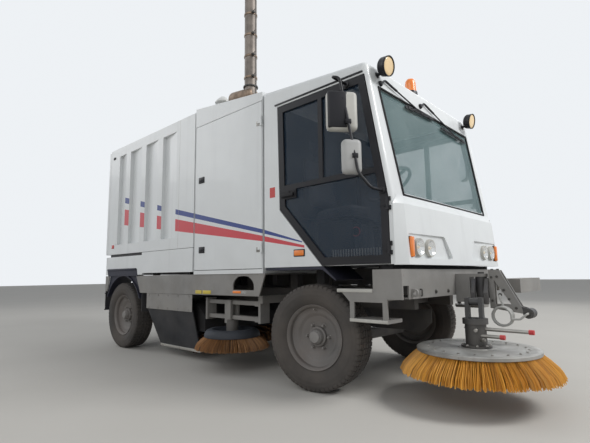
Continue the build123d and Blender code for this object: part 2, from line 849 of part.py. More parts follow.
# Mirrors: a bent tube on the door with a tall and a low head
mirror_yaw = 40.0
mirror_depth = 84.0
mirror_reach = 190.0
tube_top = (1650.0, 2415.0)
tube_low = (1795.0, 1656.0)
with BuildPart() as mirror_right:
    tube_y = -half_width - seat_gap
    route = [
        (tube_top[0] - 75, tube_y, tube_top[1] + 33),
        (tube_top[0] - 75, tube_y - mirror_reach, tube_top[1] + 33),
        (tube_top[0], tube_y - mirror_reach, tube_top[1]),
        (tube_low[0], tube_y - mirror_reach, tube_low[1]),
        (tube_low[0] + 74, tube_y - mirror_reach + 40, tube_low[1] - 116),
        (tube_low[0] + 74, tube_y, tube_low[1] - 116),
    ]
    with BuildLine() as tube_line:
        FilletPolyline(*route, radius=40)
    with BuildSketch(Plane(origin=tube_line.line @ 0, z_dir=tube_line.line % 0)):
        Circle(11)
    sweep(path=tube_line.line)
    back = Vector(cos(radians(mirror_yaw)), -sin(radians(mirror_yaw)), 0)
    along = Vector(-back.Y, back.X, 0)
    # Columns: middle z, height, shift towards the door, width
    for middle_z, height, shift, width in ((2143, 307, -25, 235), (1782, 258, -17, 146)):
        drop = (tube_top[1] - middle_z) / (tube_top[1] - tube_low[1])
        tube_x = tube_top[0] + drop * (tube_low[0] - tube_top[0])
        on_tube = Vector(tube_x, tube_y - mirror_reach, middle_z)
        head = on_tube - back * (mirror_depth - 5) + along * shift
        with BuildSketch(Plane(origin=head, x_dir=along, z_dir=back)):
            RectangleRounded(width, height, 40)
        extrude(amount=mirror_depth)
write(mirror_right, "mirror_right")
with BuildPart() as mirror_left:
    mirror(mirror_right.part, about=Plane.XZ)
write(mirror_left, "mirror_left")


def cabinet_roof(x):
    """Return the middle cabinet's roof height at an X."""
    share = (x - cabinet_rear_x) / (cabinet_front_x - cabinet_rear_x)
    return cabinet_roof_rear_z + share * (cabinet_roof_front_z - cabinet_roof_rear_z)


# Middle cabinet: a hollow box with a sloping roof and a door opening each side
cabinet_door_x = (cabinet_rear_x + cabinet_door_edge, cabinet_front_x - cabinet_door_edge)
cabinet_hinge = (576.0, half_width + hinge_radius + seat_gap)
cabinet_hinge_z = (cabinet_door_low_z + 215, cabinet_door_top_z - 202)
with BuildPart() as cabinet_shell:
    cabinet_outline = [
        (cabinet_rear_x, cabinet_floor_z),
        (cabinet_rear_x, cabinet_roof_rear_z),
        (cabinet_front_x, cabinet_roof_front_z),
        (cabinet_front_x, cabinet_floor_z),
    ]
    side_prism(cabinet_outline, -half_width, half_width)
    side_prism(
        cabinet_outline,
        -half_width + cabinet_wall,
        half_width - cabinet_wall,
        mode=Mode.SUBTRACT,
        inset=cabinet_wall,
    )
    block(
        (cabinet_door_x[0] - shut_gap, cabinet_door_x[1] + shut_gap),
        (-half_width - 1, half_width + 1),
        (cabinet_door_low_z - shut_gap + 26, cabinet_door_top_z + shut_gap),
        Mode.SUBTRACT,
    )
    for side in (-1, 1):
        for z in cabinet_hinge_z:
            for low in (z - 48, z + 16 + seat_gap):
                hinge_part(side, cabinet_hinge, cabinet_hinge[0] + 8, (low, low + 32 - seat_gap))
write(cabinet_shell, "cabinet_shell")

with BuildPart() as cabinet_door_right:
    block(
        cabinet_door_x,
        (-half_width, -half_width + cabinet_wall - 4),
        (cabinet_door_low_z + 26, cabinet_door_top_z),
    )
    block(
        (cabinet_door_x[0] + 60, cabinet_door_x[1] - 60),
        (-half_width + 14, -half_width + cabinet_wall),
        (cabinet_door_low_z + 86, cabinet_door_top_z - 60),
        Mode.SUBTRACT,
    )
    for z in cabinet_hinge_z:
        hinge_part(-1, cabinet_hinge, cabinet_hinge[0] - 50, (z - 16, z + 16))
write(cabinet_door_right, "cabinet_door_right")
with BuildPart() as cabinet_door_left:
    mirror(cabinet_door_right.part, about=Plane.XZ)
write(cabinet_door_left, "cabinet_door_left")



def gate_barrel(y, leaf_x, low_z):
    """Add a tailgate hinge barrel between two Y values, and the leaf that carries it."""
    pin_x, pin_z = gate_hinge
    rod((pin_x, y[0], pin_z), (pin_x, y[1], pin_z), 14)
    block(sorted((pin_x, leaf_x)), y, (low_z, pin_z))


# Hopper: a hollow box open at the back, each side with four sloping flutes
# Columns: rear x at the step, front x where the slope comes out flush
flutes = ((-2460, -2250), (-2125, -1800), (-1685, -1360), (-1255, -925))
with BuildPart() as hopper_body:
    block((hopper_rear_x, hopper_front_x), (-half_width, half_width), (hopper_floor_z, hopper_roof_z))
    for rear, front in flutes:
        for side in (-1, 1):
            with BuildSketch(Plane.XY.offset(flute_low_z)):
                with BuildLine():
                    Polyline(
                        (rear, side * (half_width + 5)),
                        (rear, side * (half_width - flute_depth)),
                        (front, side * half_width),
                        (front, side * (half_width + 5)),
                        close=True,
                    )
                make_face()
            extrude(amount=flute_top_z - flute_low_z, mode=Mode.SUBTRACT)
    block(
        (hopper_rear_x - 1, hopper_front_x - hopper_wall),
        (-half_width + hopper_side, half_width - hopper_side),
        (hopper_floor_z + hopper_wall, hopper_roof_z - hopper_wall),
        Mode.SUBTRACT,
    )
    for side in (-1, 1):
        pin_y = (side * (tip_lug_y[0] - 45), side * tip_lug_y[1])
        rod((tip_pin[0], pin_y[0], tip_pin[1]), (tip_pin[0], pin_y[1], tip_pin[1]), tip_pin_radius)
        root_y = sorted((pin_y[0], side * (tip_lug_y[0] - seat_gap)))
        root_z = (tip_pin[1], hopper_floor_z + 1)
        block((tip_pin[0], tip_pin[0] + 2 * tip_pin_radius), root_y, root_z)
    for y in gate_hinge_y:
        for low in (y - 64, y + 24 + seat_gap):
            barrel_y = (low, low + 40 - seat_gap)
            gate_barrel(barrel_y, gate_hinge[0] + 60, hopper_roof_z - 1)
write(hopper_body, "hopper_body")

with BuildPart() as hopper_tailgate:
    gate_front = hopper_rear_x - shut_gap
    gate_rear = gate_front - tailgate_thickness
    block((gate_rear, gate_front), (-half_width, half_width), (hopper_floor_z, hopper_roof_z - 20))
    for share in (-0.7, -0.35, 0, 0.35, 0.7):
        rib_y = (share * half_width - 40, share * half_width + 40)
        block((gate_rear - 14, gate_rear + 1), rib_y, (hopper_floor_z + 60, hopper_roof_z - 100))
    for y in gate_hinge_y:
        gate_barrel((y - 24, y + 24), gate_rear, hopper_roof_z - 21)
write(hopper_tailgate, "hopper_tailgate")

# Lower panels: the white sides and back under the hopper
with BuildPart() as lower_panels:
    outer = half_width - panel_thickness
    rear_x = machine_rear_x + 40
    side_prism(
        [
            (rear_x, lower_panel_z),
            (-1696, lower_panel_z),
            (-1696, lower_panel_z + 20),
            (-556, lower_panel_z + 20),
            (-556, hopper_floor_z - 5),
            (-1716, hopper_floor_z - 5),
            (-1716, slot_low_z),
            (rear_x, slot_low_z),
        ],
        -half_width,
        -outer,
    )
    mirror(about=Plane.XZ)
    block((rear_x, rear_x + panel_thickness), (-outer - 1, outer + 1), (lower_panel_z, slot_low_z))
write(lower_panels, "lower_panels")

# Side skirts: grey plates with a round-topped opening, hung from the body by a flange
with BuildPart() as side_skirts:
    skirt_top = cabinet_floor_z - seat_gap
    skirt_y = (-half_width + 10, -half_width + 10 + skirt_thickness)
    side_prism(
        [(-1700, skirt_low_z), (519, skirt_low_z + 9), (605, skirt_top), (-1700, skirt_top)],
        *skirt_y,
    )
    with BuildSketch(Plane.XZ.offset(half_width + 1)):
        with Locations((294, 860)):
            Rectangle(311, 122)
        with Locations((294, 885)):
            Ellipse(155, 48)
    extrude(amount=-60, mode=Mode.SUBTRACT)
    block((-1700, 600), (skirt_y[0], -rail_y - 45), (skirt_top - 10, skirt_top))
    mirror(about=Plane.XZ)
write(side_skirts, "side_skirts")

# Mudguards: folded black plates over the front wheels, arches over the rear ones
with BuildPart() as mudguards:
    guard_y = (-half_width + 4, -620)
    guard_top = cab_floor_z - seat_gap
    side_prism(
        [
            (625, guard_top),
            (1292, guard_top),
            (1424, 897),
            (1416, 889),
            (1284, guard_top - 26),
            (625, guard_top - 26),
        ],
        *guard_y,
    )
    arch_outer = lower_panel_z - seat_gap - axle_z
    with BuildSketch(Plane.XZ.offset(half_width - 6)):
        with Locations((rear_axle_x, axle_z)):
            Circle(arch_outer)
            Circle(arch_outer - 14, mode=Mode.SUBTRACT)
        with Locations((rear_axle_x, axle_z - 420)):
            Rectangle(1400, 1300, mode=Mode.SUBTRACT)
    extrude(amount=-260)
    mirror(about=Plane.XZ)
write(mudguards, "mudguards")

# Sweeper hood: a box open below, over the main roller brush
with BuildPart() as sweeper_hood:
    hood = [
        (hood_front_x, hood_low_z),
        (hood_front_x, hood_top_z - 140),
        (hood_front_x - 180, hood_top_z),
        (hood_rear_x + 120, hood_top_z),
        (hood_rear_x, hood_top_z - 120),
        (hood_rear_x, hood_low_z),
    ]
    side_prism(hood, -hood_half_width, hood_half_width)
    side_prism(
        hood, -hood_half_width + 10, hood_half_width - 10, mode=Mode.SUBTRACT, inset=10
    )
    block(
        (hood_rear_x + 10, hood_front_x - 10),
        (-hood_half_width + 10, hood_half_width - 10),
        (hood_low_z - 1, hood_low_z + 20),
        Mode.SUBTRACT,
    )
    for side in (-1, 1):
        bearing_y = sorted((side * (hood_half_width - 10), side * hood_half_width))
        block((roller_x - 90, roller_x + 90), bearing_y, (bearing_low_z, hood_low_z + 1))
write(sweeper_hood, "sweeper_hood")

# Rubber skirts: flared flaps round the hood's lower edge, with a metal strip
with BuildPart() as rubber_skirts:
    flap_low = 60.0
    for side in (-1, 1):
        top_y = side * (hood_half_width + seat_gap)
        low_y = side * (half_width - 40)
        with BuildSketch(Plane.YZ.offset(hood_rear_x)):
            with BuildLine():
                Polyline(
                    (top_y, 540),
                    (top_y + side * 14, 540),
                    (low_y + side * 14, flap_low),
                    (low_y, flap_low),
                    (top_y, 500),
                    close=True,
                )
            make_face()
        extrude(amount=hood_front_x - hood_rear_x)
write(rubber_skirts, "rubber_skirts")

# Main roller brush
with BuildPart() as main_brush:
    roller_z = roller_radius + roller_lift
    rod((roller_x, -roller_length / 2, roller_z), (roller_x, roller_length / 2, roller_z), roller_radius)
    shaft = hood_half_width - 10 - seat_gap
    rod((roller_x, -shaft, roller_z), (roller_x, shaft, roller_z), 30)
write(main_brush, "main_brush")


def brush_solid(x, y, disc_z, tip_z, disc_radius, tip_radius):
    """Revolve a brush: a flat disc with a ring of flared bristles."""
    with BuildPart() as piece:
        with BuildSketch(Plane.XZ.offset(-y)):
            with BuildLine():
                Polyline(
                    (x, disc_z),
                    (x + disc_radius - 8, disc_z),
                    (x + disc_radius, disc_z - 8),
                    (x + tip_radius, tip_z + 22),
                    (x + tip_radius - 14, tip_z),
                    (x + disc_radius - 60, tip_z),
                    (x + disc_radius - 130, disc_z - 26),
                    (x, disc_z - 26),
                    close=True,
                )
            make_face()
        revolve(axis=Axis((x, y, 0), (0, 0, 1)))
    return piece


# Side brushes: post on the frame, upper and lower links, motor carrier, brush
ear_faces = ((-60.0, -32.0), (32.0, 60.0))
link_half = 32.0 - seat_gap
link_y = (-side_brush_y - link_half, -side_brush_y + link_half)
with BuildPart() as side_posts:
    for side in (-1, 1):
        low, high = sorted((side * (side_brush_y - 60), side * (side_brush_y + 60)))
        block((link_front_x + 30, link_front_x + 60), (low, high), (link_low_z - 35, link_top_z + 35))
        for near, far in ear_faces:
            ear_y = (side * side_brush_y + near, side * side_brush_y + far)
            for z in (link_low_z, link_top_z):
                block((link_front_x - 22, link_front_x + 32), ear_y, (z - 24, z + 24))
        rail_side = rail_y + rail_width / 2 + seat_gap
        beam_y = sorted((side * rail_side, side * (side_brush_y + 60)))
        block((link_front_x + 30, link_front_x + 90), beam_y, (link_top_z + 5, link_top_z + 75))
write(side_posts, "side_posts")

for level, z in (("upper", link_top_z), ("lower", link_low_z)):
    with BuildPart() as link:
        with BuildSketch(Plane.XZ.offset(-link_y[0])):
            with Locations(((link_front_x + link_rear_x) / 2, z)):
                SlotCenterToCenter(link_front_x - link_rear_x, 40)
        extrude(amount=-(link_y[1] - link_y[0]))
    with BuildPart() as link_copy:
        mirror(link.part, about=Plane.XZ)
    write(link, f"side_{level}_link_right")
    write(link_copy, f"side_{level}_link_left")

with BuildPart() as side_carrier_right:
    carrier_y = (-side_brush_y - 60, -side_brush_y + 60)
    for near, far in ear_faces:
        ear_y = (-side_brush_y + near, -side_brush_y + far)
        block((link_rear_x - 24, link_rear_x + 24), ear_y, (link_low_z - 24, link_top_z + 24))
    block((link_rear_x - 70, link_rear_x - 24), carrier_y, (link_low_z - 60, link_top_z + 24))
    for z in (link_low_z, link_top_z):
        block((carrier_rear_x, link_rear_x - 68), link_y, (z - 20, z + 20))
    block((carrier_rear_x, carrier_rear_x + 30), carrier_y, (link_low_z - 40, link_top_z + 40))
    rod(
        (side_brush_x, -side_brush_y, side_disc_z + seat_gap),
        (side_brush_x, -side_brush_y, link_low_z - 30),
        62,
    )
with BuildPart() as side_carrier_left:
    mirror(side_carrier_right.part, about=Plane.XZ)
write(side_carrier_right, "side_carrier_right")
write(side_carrier_left, "side_carrier_left")
for name, side in (("right", -1), ("left", 1)):
    brush = brush_solid(
        side_brush_x, side * side_brush_y, side_disc_z, side_tip_z, side_disc_radius, side_tip_radius
    )
    write(brush, f"side_brush_{name}")

# Front arm: swing column with its A-frame, lifting arm, motor carrier, brush
arm_run = Vector(front_brush_x - front_pivot_x, front_brush_y - front_pivot_y, 0)
arm_dir = arm_run.normalized()
arm_side = Vector(-arm_dir.Y, arm_dir.X, 0)
arm_start = Vector(front_pivot_x, front_pivot_y, 0) + arm_dir * 90
arm_end = Vector(front_brush_x, front_brush_y, 0)
arm_z = 720.0
cheek_gap = 34.0
cheek_thickness = 28.0
arm_half = cheek_gap - seat_gap
sleeve_radius = 45.0
sleeve_z = (lug_low_z + lug_thickness + seat_gap, lug_top_z - lug_thickness - seat_gap)
frame_rear_x = front_pivot_x + lug_radius + 16
frame_gap = 18.0
frame_plate = 12.0
motor_x = 2535.0
motor_z = 628.0
with BuildPart() as front_swing:
    pivot = (front_pivot_x, front_pivot_y)
    rod((*pivot, lug_low_z - 12), (*pivot, lug_top_z + 14), pivot_radius)
    rod((*pivot, sleeve_z[0]), (*pivot, sleeve_z[1]), sleeve_radius)
    for cheek_y in (-cheek_gap - cheek_thickness, cheek_gap):
        cheek_origin = Vector(front_pivot_x, front_pivot_y, 0) + arm_side * cheek_y
        with BuildSketch(Plane(origin=cheek_origin, x_dir=arm_dir, z_dir=-arm_side)):
            with BuildLine():
                Polyline(
                    (5, 790),
                    (5, 890),
                    (50, 890),
                    (125, 780),
                    (125, 690),
                    (66, 690),
                    (66, 790),
                    close=True,
                )
            make_face()
        extrude(amount=-cheek_thickness)
    a_frame = [
        (frame_rear_x, 957),
        (frame_rear_x + 84, 957),
        (motor_x - 50, motor_z + 50),
        (motor_x, motor_z + 34),
        (motor_x, motor_z - 10),
        (frame_rear_x, motor_z + 30),
    ]
    window = [
        (frame_rear_x + 38, 880),
        (frame_rear_x + 38, motor_z + 62),
        (motor_x - 118, motor_z + 62),
    ]
    for plate_y in (front_pivot_y - frame_gap - frame_plate, front_pivot_y + frame_gap):
        side_prism(a_frame, plate_y, plate_y + frame_plate)
        side_prism(window, plate_y - 1, plate_y + frame_plate + 1, mode=Mode.SUBTRACT)
    frame_y = (front_pivot_y - frame_gap - 1, front_pivot_y + frame_gap + 1)
    block((front_pivot_x, frame_rear_x + 30), frame_y, (sleeve_z[0] + 10, sleeve_z[1] - 10))
    block((frame_rear_x, frame_rear_x + 84), frame_y, (925, 957))
    rod((motor_x, front_pivot_y - 46, motor_z), (motor_x, front_pivot_y + 46, motor_z), 38)
write(front_swing, "front_swing")

with BuildPart() as front_arm:
    arm_origin = arm_start + Vector(0, 0, arm_z) - arm_side * arm_half
    arm_length = (arm_end - arm_start).length
    with BuildSketch(Plane(origin=arm_origin, x_dir=arm_dir, z_dir=-arm_side)):
        with Locations((arm_length / 2, 0)):
            SlotCenterToCenter(arm_length, 50)
    extrude(amount=-2 * arm_half)
write(front_arm, "front_arm")

lever_z = 525.0
with BuildPart() as front_carrier:
    for cheek_y in (-cheek_gap - cheek_thickness, cheek_gap):
        cheek_origin = arm_end + arm_side * cheek_y
        with BuildSketch(Plane(origin=cheek_origin, x_dir=arm_dir, z_dir=-arm_side)):
            with Locations((0, (arm_z + 30 + 560) / 2)):
                Rectangle(70, arm_z + 30 - 560)
        extrude(amount=-cheek_thickness)
    with BuildSketch(Plane.XY.offset(front_disc_z + seat_gap)):
        with Locations((front_brush_x, front_brush_y)):
            Circle(75)
    extrude(amount=600 - front_disc_z - seat_gap)
    with BuildSketch(Plane.XY.offset(560)):
        with Locations((front_brush_x, front_brush_y)):
            Circle(90)
    extrude(amount=40)
    # Columns: lever end x, side offset, height
    for end_x, side_y, z in ((2628, 0, lever_z), (2450, -40, lever_z - 45)):
        y = front_brush_y + side_y
        rod((front_brush_x, y, z), (end_x, y, z), 13)
        rod((end_x - 26, y, z), (end_x + 6, y, z), 17)
write(front_carrier, "front_carrier")
write(
    brush_solid(
        front_brush_x, front_brush_y, front_disc_z, front_tip_z, front_disc_radius, front_tip_radius
    ),
    "front_brush",
)

# Exhaust: a silencer on the cabinet's roof, its stack with clamp rings, and an intake cap
stack_x = 205.0
stack_y = 180 - half_width
stack_top_z = 3920.0
stack_radius = 66.0
silencer_x = (-100.0, 262.0)
silencer_radius = 80.0
silencer_lift = 8.0
intake_x = -270.0
intake_radius = 92.0
intake_height = 160.0


def silencer_z(x):
    """Return the height of the silencer's axis at an X; it lies along the sloping roof."""
    return cabinet_roof(x) + silencer_radius + silencer_lift


with BuildPart() as exhaust_stack:
    silencer_ends = [(x, stack_y, silencer_z(x)) for x in silencer_x]
    rod(*silencer_ends, silencer_radius)
    fillet(exhaust_stack.edges().filter_by(GeomType.CIRCLE), radius=silencer_radius / 2)
    rod((stack_x, stack_y, silencer_z(stack_x)), (stack_x, stack_y, stack_top_z), stack_radius)
    ring_low_z = cabinet_roof_front_z + 310
    ring_pitch = (stack_top_z - 190 - ring_low_z) / 3
    for step in range(4):
        ring_z = ring_low_z + step * ring_pitch
        rod((stack_x, stack_y, ring_z), (stack_x, stack_y, ring_z + 22), stack_radius + 7)
    for x in (silencer_x[0] + 50, silencer_x[1] - 90):
        side_prism(
            [
                (x, cabinet_roof(x) + seat_gap),
                (x + 40, cabinet_roof(x + 40) + seat_gap),
                (x + 40, silencer_z(x + 40)),
                (x, silencer_z(x)),
            ],
            stack_y - 60,
            stack_y + 60,
        )
    foot_z = cabinet_roof(intake_x) + seat_gap
    cap_z = foot_z + intake_height
    with BuildSketch(Plane.XZ.offset(-stack_y)):
        with BuildLine():
            Polyline(
                (intake_x, foot_z - 20),
                (intake_x + 50, foot_z - 20),
                (intake_x + 50, cap_z - 80),
                (intake_x + intake_radius, cap_z - 80),
                (intake_x + intake_radius, cap_z - 64),
                (intake_x + 24, cap_z),
                (intake_x, cap_z),
                close=True,
            )
        make_face()
    revolve(axis=Axis((intake_x, stack_y, 0), (0, 0, 1)))
    roof_cut = [
        (intake_x - 60, cabinet_roof(intake_x - 60) + seat_gap),
        (intake_x + 60, cabinet_roof(intake_x + 60) + seat_gap),
        (intake_x + 60, foot_z - 60),
        (intake_x - 60, foot_z - 60),
    ]
    side_prism(roof_cut, stack_y - 60, stack_y + 60, mode=Mode.SUBTRACT)
write(exhaust_stack, "exhaust_stack")
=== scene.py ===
"""Street sweeper truck: finishes and close-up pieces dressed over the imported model.

The frame is the model's own: +X forward, +Y left, +Z up. Shapes are drawn in millimetres and
Workshop.add turns them into metres. Finishes, zones, seat pads, the camera and the studio are in
metres.
"""

from __future__ import annotations

import json
import logging
import math
from dataclasses import dataclass
from enum import Enum
from typing import Sequence

import bmesh
import bpy
from mathutils import Matrix, Vector

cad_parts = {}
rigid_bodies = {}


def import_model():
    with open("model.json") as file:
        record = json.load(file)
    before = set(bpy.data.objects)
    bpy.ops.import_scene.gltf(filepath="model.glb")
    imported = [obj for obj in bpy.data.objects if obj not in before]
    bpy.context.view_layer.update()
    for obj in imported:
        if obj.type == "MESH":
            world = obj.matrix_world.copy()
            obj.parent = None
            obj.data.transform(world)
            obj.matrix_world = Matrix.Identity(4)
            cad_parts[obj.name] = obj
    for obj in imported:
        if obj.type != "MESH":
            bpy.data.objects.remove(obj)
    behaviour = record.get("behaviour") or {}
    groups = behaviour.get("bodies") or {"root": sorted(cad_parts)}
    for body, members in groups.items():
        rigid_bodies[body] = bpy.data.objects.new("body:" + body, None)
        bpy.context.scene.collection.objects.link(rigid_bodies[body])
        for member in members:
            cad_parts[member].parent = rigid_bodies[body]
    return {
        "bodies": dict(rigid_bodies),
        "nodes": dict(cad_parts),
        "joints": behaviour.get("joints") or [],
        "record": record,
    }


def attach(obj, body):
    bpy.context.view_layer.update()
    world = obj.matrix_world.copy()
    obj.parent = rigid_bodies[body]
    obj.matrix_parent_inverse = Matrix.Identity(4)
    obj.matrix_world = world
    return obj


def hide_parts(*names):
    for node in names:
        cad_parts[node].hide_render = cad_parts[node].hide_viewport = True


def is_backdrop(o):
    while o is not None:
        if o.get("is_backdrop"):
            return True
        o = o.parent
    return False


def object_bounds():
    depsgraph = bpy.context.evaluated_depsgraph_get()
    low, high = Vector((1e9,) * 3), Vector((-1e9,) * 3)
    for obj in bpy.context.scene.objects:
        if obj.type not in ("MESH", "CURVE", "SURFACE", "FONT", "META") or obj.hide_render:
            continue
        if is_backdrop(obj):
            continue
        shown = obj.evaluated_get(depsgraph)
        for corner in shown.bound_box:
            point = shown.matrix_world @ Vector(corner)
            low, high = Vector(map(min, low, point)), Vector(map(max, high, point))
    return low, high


LOG = logging.getLogger("sweeper")
MM = 0.001
SMOOTH_DEGREES = 35.0
SCREEN_SLOPE = 0.1717
Triple = tuple[float, float, float]
Pair = tuple[float, float]


class Side(Enum):
    """The two sides of the vehicle; the value is the sign of Y."""

    RIGHT = -1
    LEFT = 1

    @property
    def label(self) -> str:
        """Return the side's name as body and node names use it."""
        return self.name.lower()


# Finishes


class Nodes:
    """A short way to add nodes to a tree and join them."""

    def __init__(self, tree: bpy.types.NodeTree) -> None:
        """Work in a node tree."""
        self.tree = tree

    def node(
        self, kind: str, inputs: dict[object, object] | None = None, **settings: object
    ) -> bpy.types.Node:
        """Add a node, set its properties and feed its inputs.

        Args:
            kind: Blender's name of the node's type.
            inputs: Other nodes' outputs, numbers or colours, each by the input that it feeds.
            settings: The node's properties.

        Returns:
            The new node.
        """
        made = self.tree.nodes.new(kind)
        for key, value in settings.items():
            setattr(made, key, value)
        for key, value in (inputs or {}).items():
            socket = made.inputs[key]
            if isinstance(value, bpy.types.NodeSocket):
                self.tree.links.new(value, socket)
            elif socket.type == "RGBA" and len(value) == 3:
                socket.default_value = (*value, 1.0)
            else:
                socket.default_value = value
        return made

    def out(
        self, kind: str, inputs: dict[object, object] | None = None, **settings: object
    ) -> bpy.types.NodeSocket:
        """Add a node and return its first output."""
        return self.node(kind, inputs, **settings).outputs[0]

    def math(self, operation: str, *values: object) -> bpy.types.NodeSocket:
        """Add a math node and return its result."""
        return self.out("ShaderNodeMath", dict(enumerate(values)), operation=operation)

    def times(self, *values: object) -> object:
        """Return the product of several values.

        Args:
            values: The factors, as outputs or numbers.

        Returns:
            The product.
        """
        result = values[0]
        for value in values[1:]:
            result = self.math("MULTIPLY", result, value)
        return result


class Graph(Nodes):
    """The shader nodes of a material."""

    def __init__(self, name: str) -> None:
        """Start a node material of the given name.

        Args:
            name: The material's name.
        """
        self.material = bpy.data.materials.new(name)
        self.material.use_nodes = True
        super().__init__(self.material.node_tree)
        self.tree.nodes.clear()
        self.coords = self.node("ShaderNodeTexCoord").outputs["Object"]

    def within(self, value: object, low: float, high: float) -> bpy.types.NodeSocket:
        """Return 1 where a value lies between two limits, and 0 elsewhere."""
        return self.times(self.math("GREATER_THAN", value, low), self.math("LESS_THAN", value, high))

    def band(self, value: object, low: float, high: float) -> bpy.types.NodeSocket:
        """Map a value to 0 at low and 1 at high, clamped, with soft ends."""
        inputs = {"Value": value, "From Min": low, "From Max": high}
        return self.out("ShaderNodeMapRange", inputs, interpolation_type="SMOOTHSTEP")

    def mix(self, factor: object, a: object, b: object, blend: str = "MIX") -> bpy.types.NodeSocket:
        """Mix two colours and return the result."""
        inputs = {"Factor": factor, 6: a, 7: b}
        return self.node("ShaderNodeMix", inputs, data_type="RGBA", blend_type=blend).outputs[2]

    def axes(self) -> dict[str, bpy.types.NodeSocket]:
        """Return the object coordinates as X, Y and Z outputs."""
        made = self.node("ShaderNodeSeparateXYZ", {0: self.coords})
        return {key: made.outputs[key] for key in "XYZ"}

    def noise(self, scale: float, detail: float = 3.0, stretch: Triple = (1, 1, 1)) -> bpy.types.NodeSocket:
        """Add noise on object coordinates.

        Args:
            scale: Features per metre.
            detail: Octaves.
            stretch: Scale of the coordinates along X, Y and Z.

        Returns:
            The noise's value, from 0 to 1.
        """
        place = self.out("ShaderNodeMapping", {"Vector": self.coords, "Scale": stretch})
        return self.out("ShaderNodeTexNoise", {"Vector": place, "Scale": scale, "Detail": detail})

    def surface(self, values: dict[str, object], height: object, strength: float) -> bpy.types.Material:
        """Close the graph with a Principled shader.

        Args:
            values: The shader's inputs by name.
            height: A height for the bump.
            strength: The bump's strength.

        Returns:
            The finished material.
        """
        if strength > 0:
            bump = {"Strength": strength, "Distance": 0.002, "Height": height}
            values = {**values, "Normal": self.out("ShaderNodeBump", bump)}
        self.node("ShaderNodeOutputMaterial", {"Surface": self.out("ShaderNodeBsdfPrincipled", values)})
        return self.material


@dataclass(frozen=True)
class Finish:
    """A procedural finish: base colour, mottling, road dust, streaks and grain."""

    name: str
    colour: Triple
    roughness: float = 0.5
    metallic: float = 0.0
    mottle: float = 0.10
    mottle_scale: float = 4.0
    dust: float = 0.25
    dust_colour: Triple = (0.30, 0.27, 0.23)
    dust_reach: Pair = (0.3, 1.5)
    streak: float = 0.0
    chips: float = 0.0
    chip_colour: Triple = (0.16, 0.10, 0.06)
    grain: float = 0.05
    grain_scale: float = 300.0
    coat: float = 0.0
    glow: float = 0.0
    specular: float = 0.5

    def paint(self, graph: Graph) -> bpy.types.NodeSocket | None:
        """Return the base colour before dust and wear, or None where it is plain."""
        return None

    def build(self) -> bpy.types.Material:
        """Build the finish's node material.

        Returns:
            The material.
        """
        graph = Graph(self.name)
        shade = graph.band(graph.noise(self.mottle_scale, 5.0), 0.3, 0.7)
        base = self.paint(graph)
        if base is None:
            dark = tuple(c * (1 - self.mottle) for c in self.colour)
            light = tuple(min(1.0, c * (1 + self.mottle)) for c in self.colour)
            base = graph.mix(shade, dark, light)
        else:
            pale = graph.mix(shade, (1 - self.mottle,) * 3, (1.0, 1.0, 1.0))
            base = graph.mix(1.0, base, pale, "MULTIPLY")
        if self.streak > 0:
            run = graph.noise(9.0, 6.0, (1.0, 1.0, 0.06))
            wet = graph.times(graph.band(run, 0.52, 0.72), self.streak)
            base = graph.mix(wet, base, tuple(0.45 * c for c in self.colour))
        if self.chips > 0:
            hit = graph.times(graph.band(graph.noise(60.0, 4.0), 0.66, 0.70), self.chips)
            base = graph.mix(hit, base, self.chip_colour)
        low = graph.math("SUBTRACT", 1.0, graph.band(graph.axes()["Z"], *self.dust_reach))
        cloud = graph.band(graph.noise(2.6, 8.0), 0.25, 0.75)
        film = graph.times(graph.math("MULTIPLY_ADD", low, 0.75, 0.25), cloud, self.dust)
        fine = graph.noise(self.grain_scale, 2.0)
        rough = graph.math("ADD", film, fine)
        values: dict[str, object] = {
            "Base Color": graph.mix(film, base, self.dust_colour),
            "Roughness": graph.math("MULTIPLY_ADD", rough, 0.18, self.roughness - 0.09),
            "Metallic": self.metallic,
            "Specular IOR Level": self.specular,
            "Coat Weight": self.coat,
        }
        if self.glow > 0:
            values["Emission Color"] = self.colour
            values["Emission Strength"] = self.glow
        return graph.surface(values, fine, self.grain)


@dataclass(frozen=True)
class Stripe:
    """A tapering band on the flat sides, whose edges bend once: heights at start, bend and end."""

    colour: Triple
    start_x: float
    bend_x: float
    end_x: float
    upper: Triple
    lower: Triple

    def edge(self, graph: Graph, x: bpy.types.NodeSocket, heights: Triple) -> bpy.types.NodeSocket:
        """Return one edge's height along X as the lower of two straight lines.

        Args:
            graph: The material's graph.
            x: The X coordinate.
            heights: The edge's heights at start, bend and end.

        Returns:
            The edge's height.
        """
        knots = list(zip((self.start_x, self.bend_x, self.end_x), heights))
        lines = []
        for (x0, z0), (x1, z1) in zip(knots, knots[1:]):
            slope = (z1 - z0) / (x1 - x0)
            lines.append(graph.math("MULTIPLY_ADD", x, slope, z0 - slope * x0))
        return graph.math("MINIMUM", *lines)


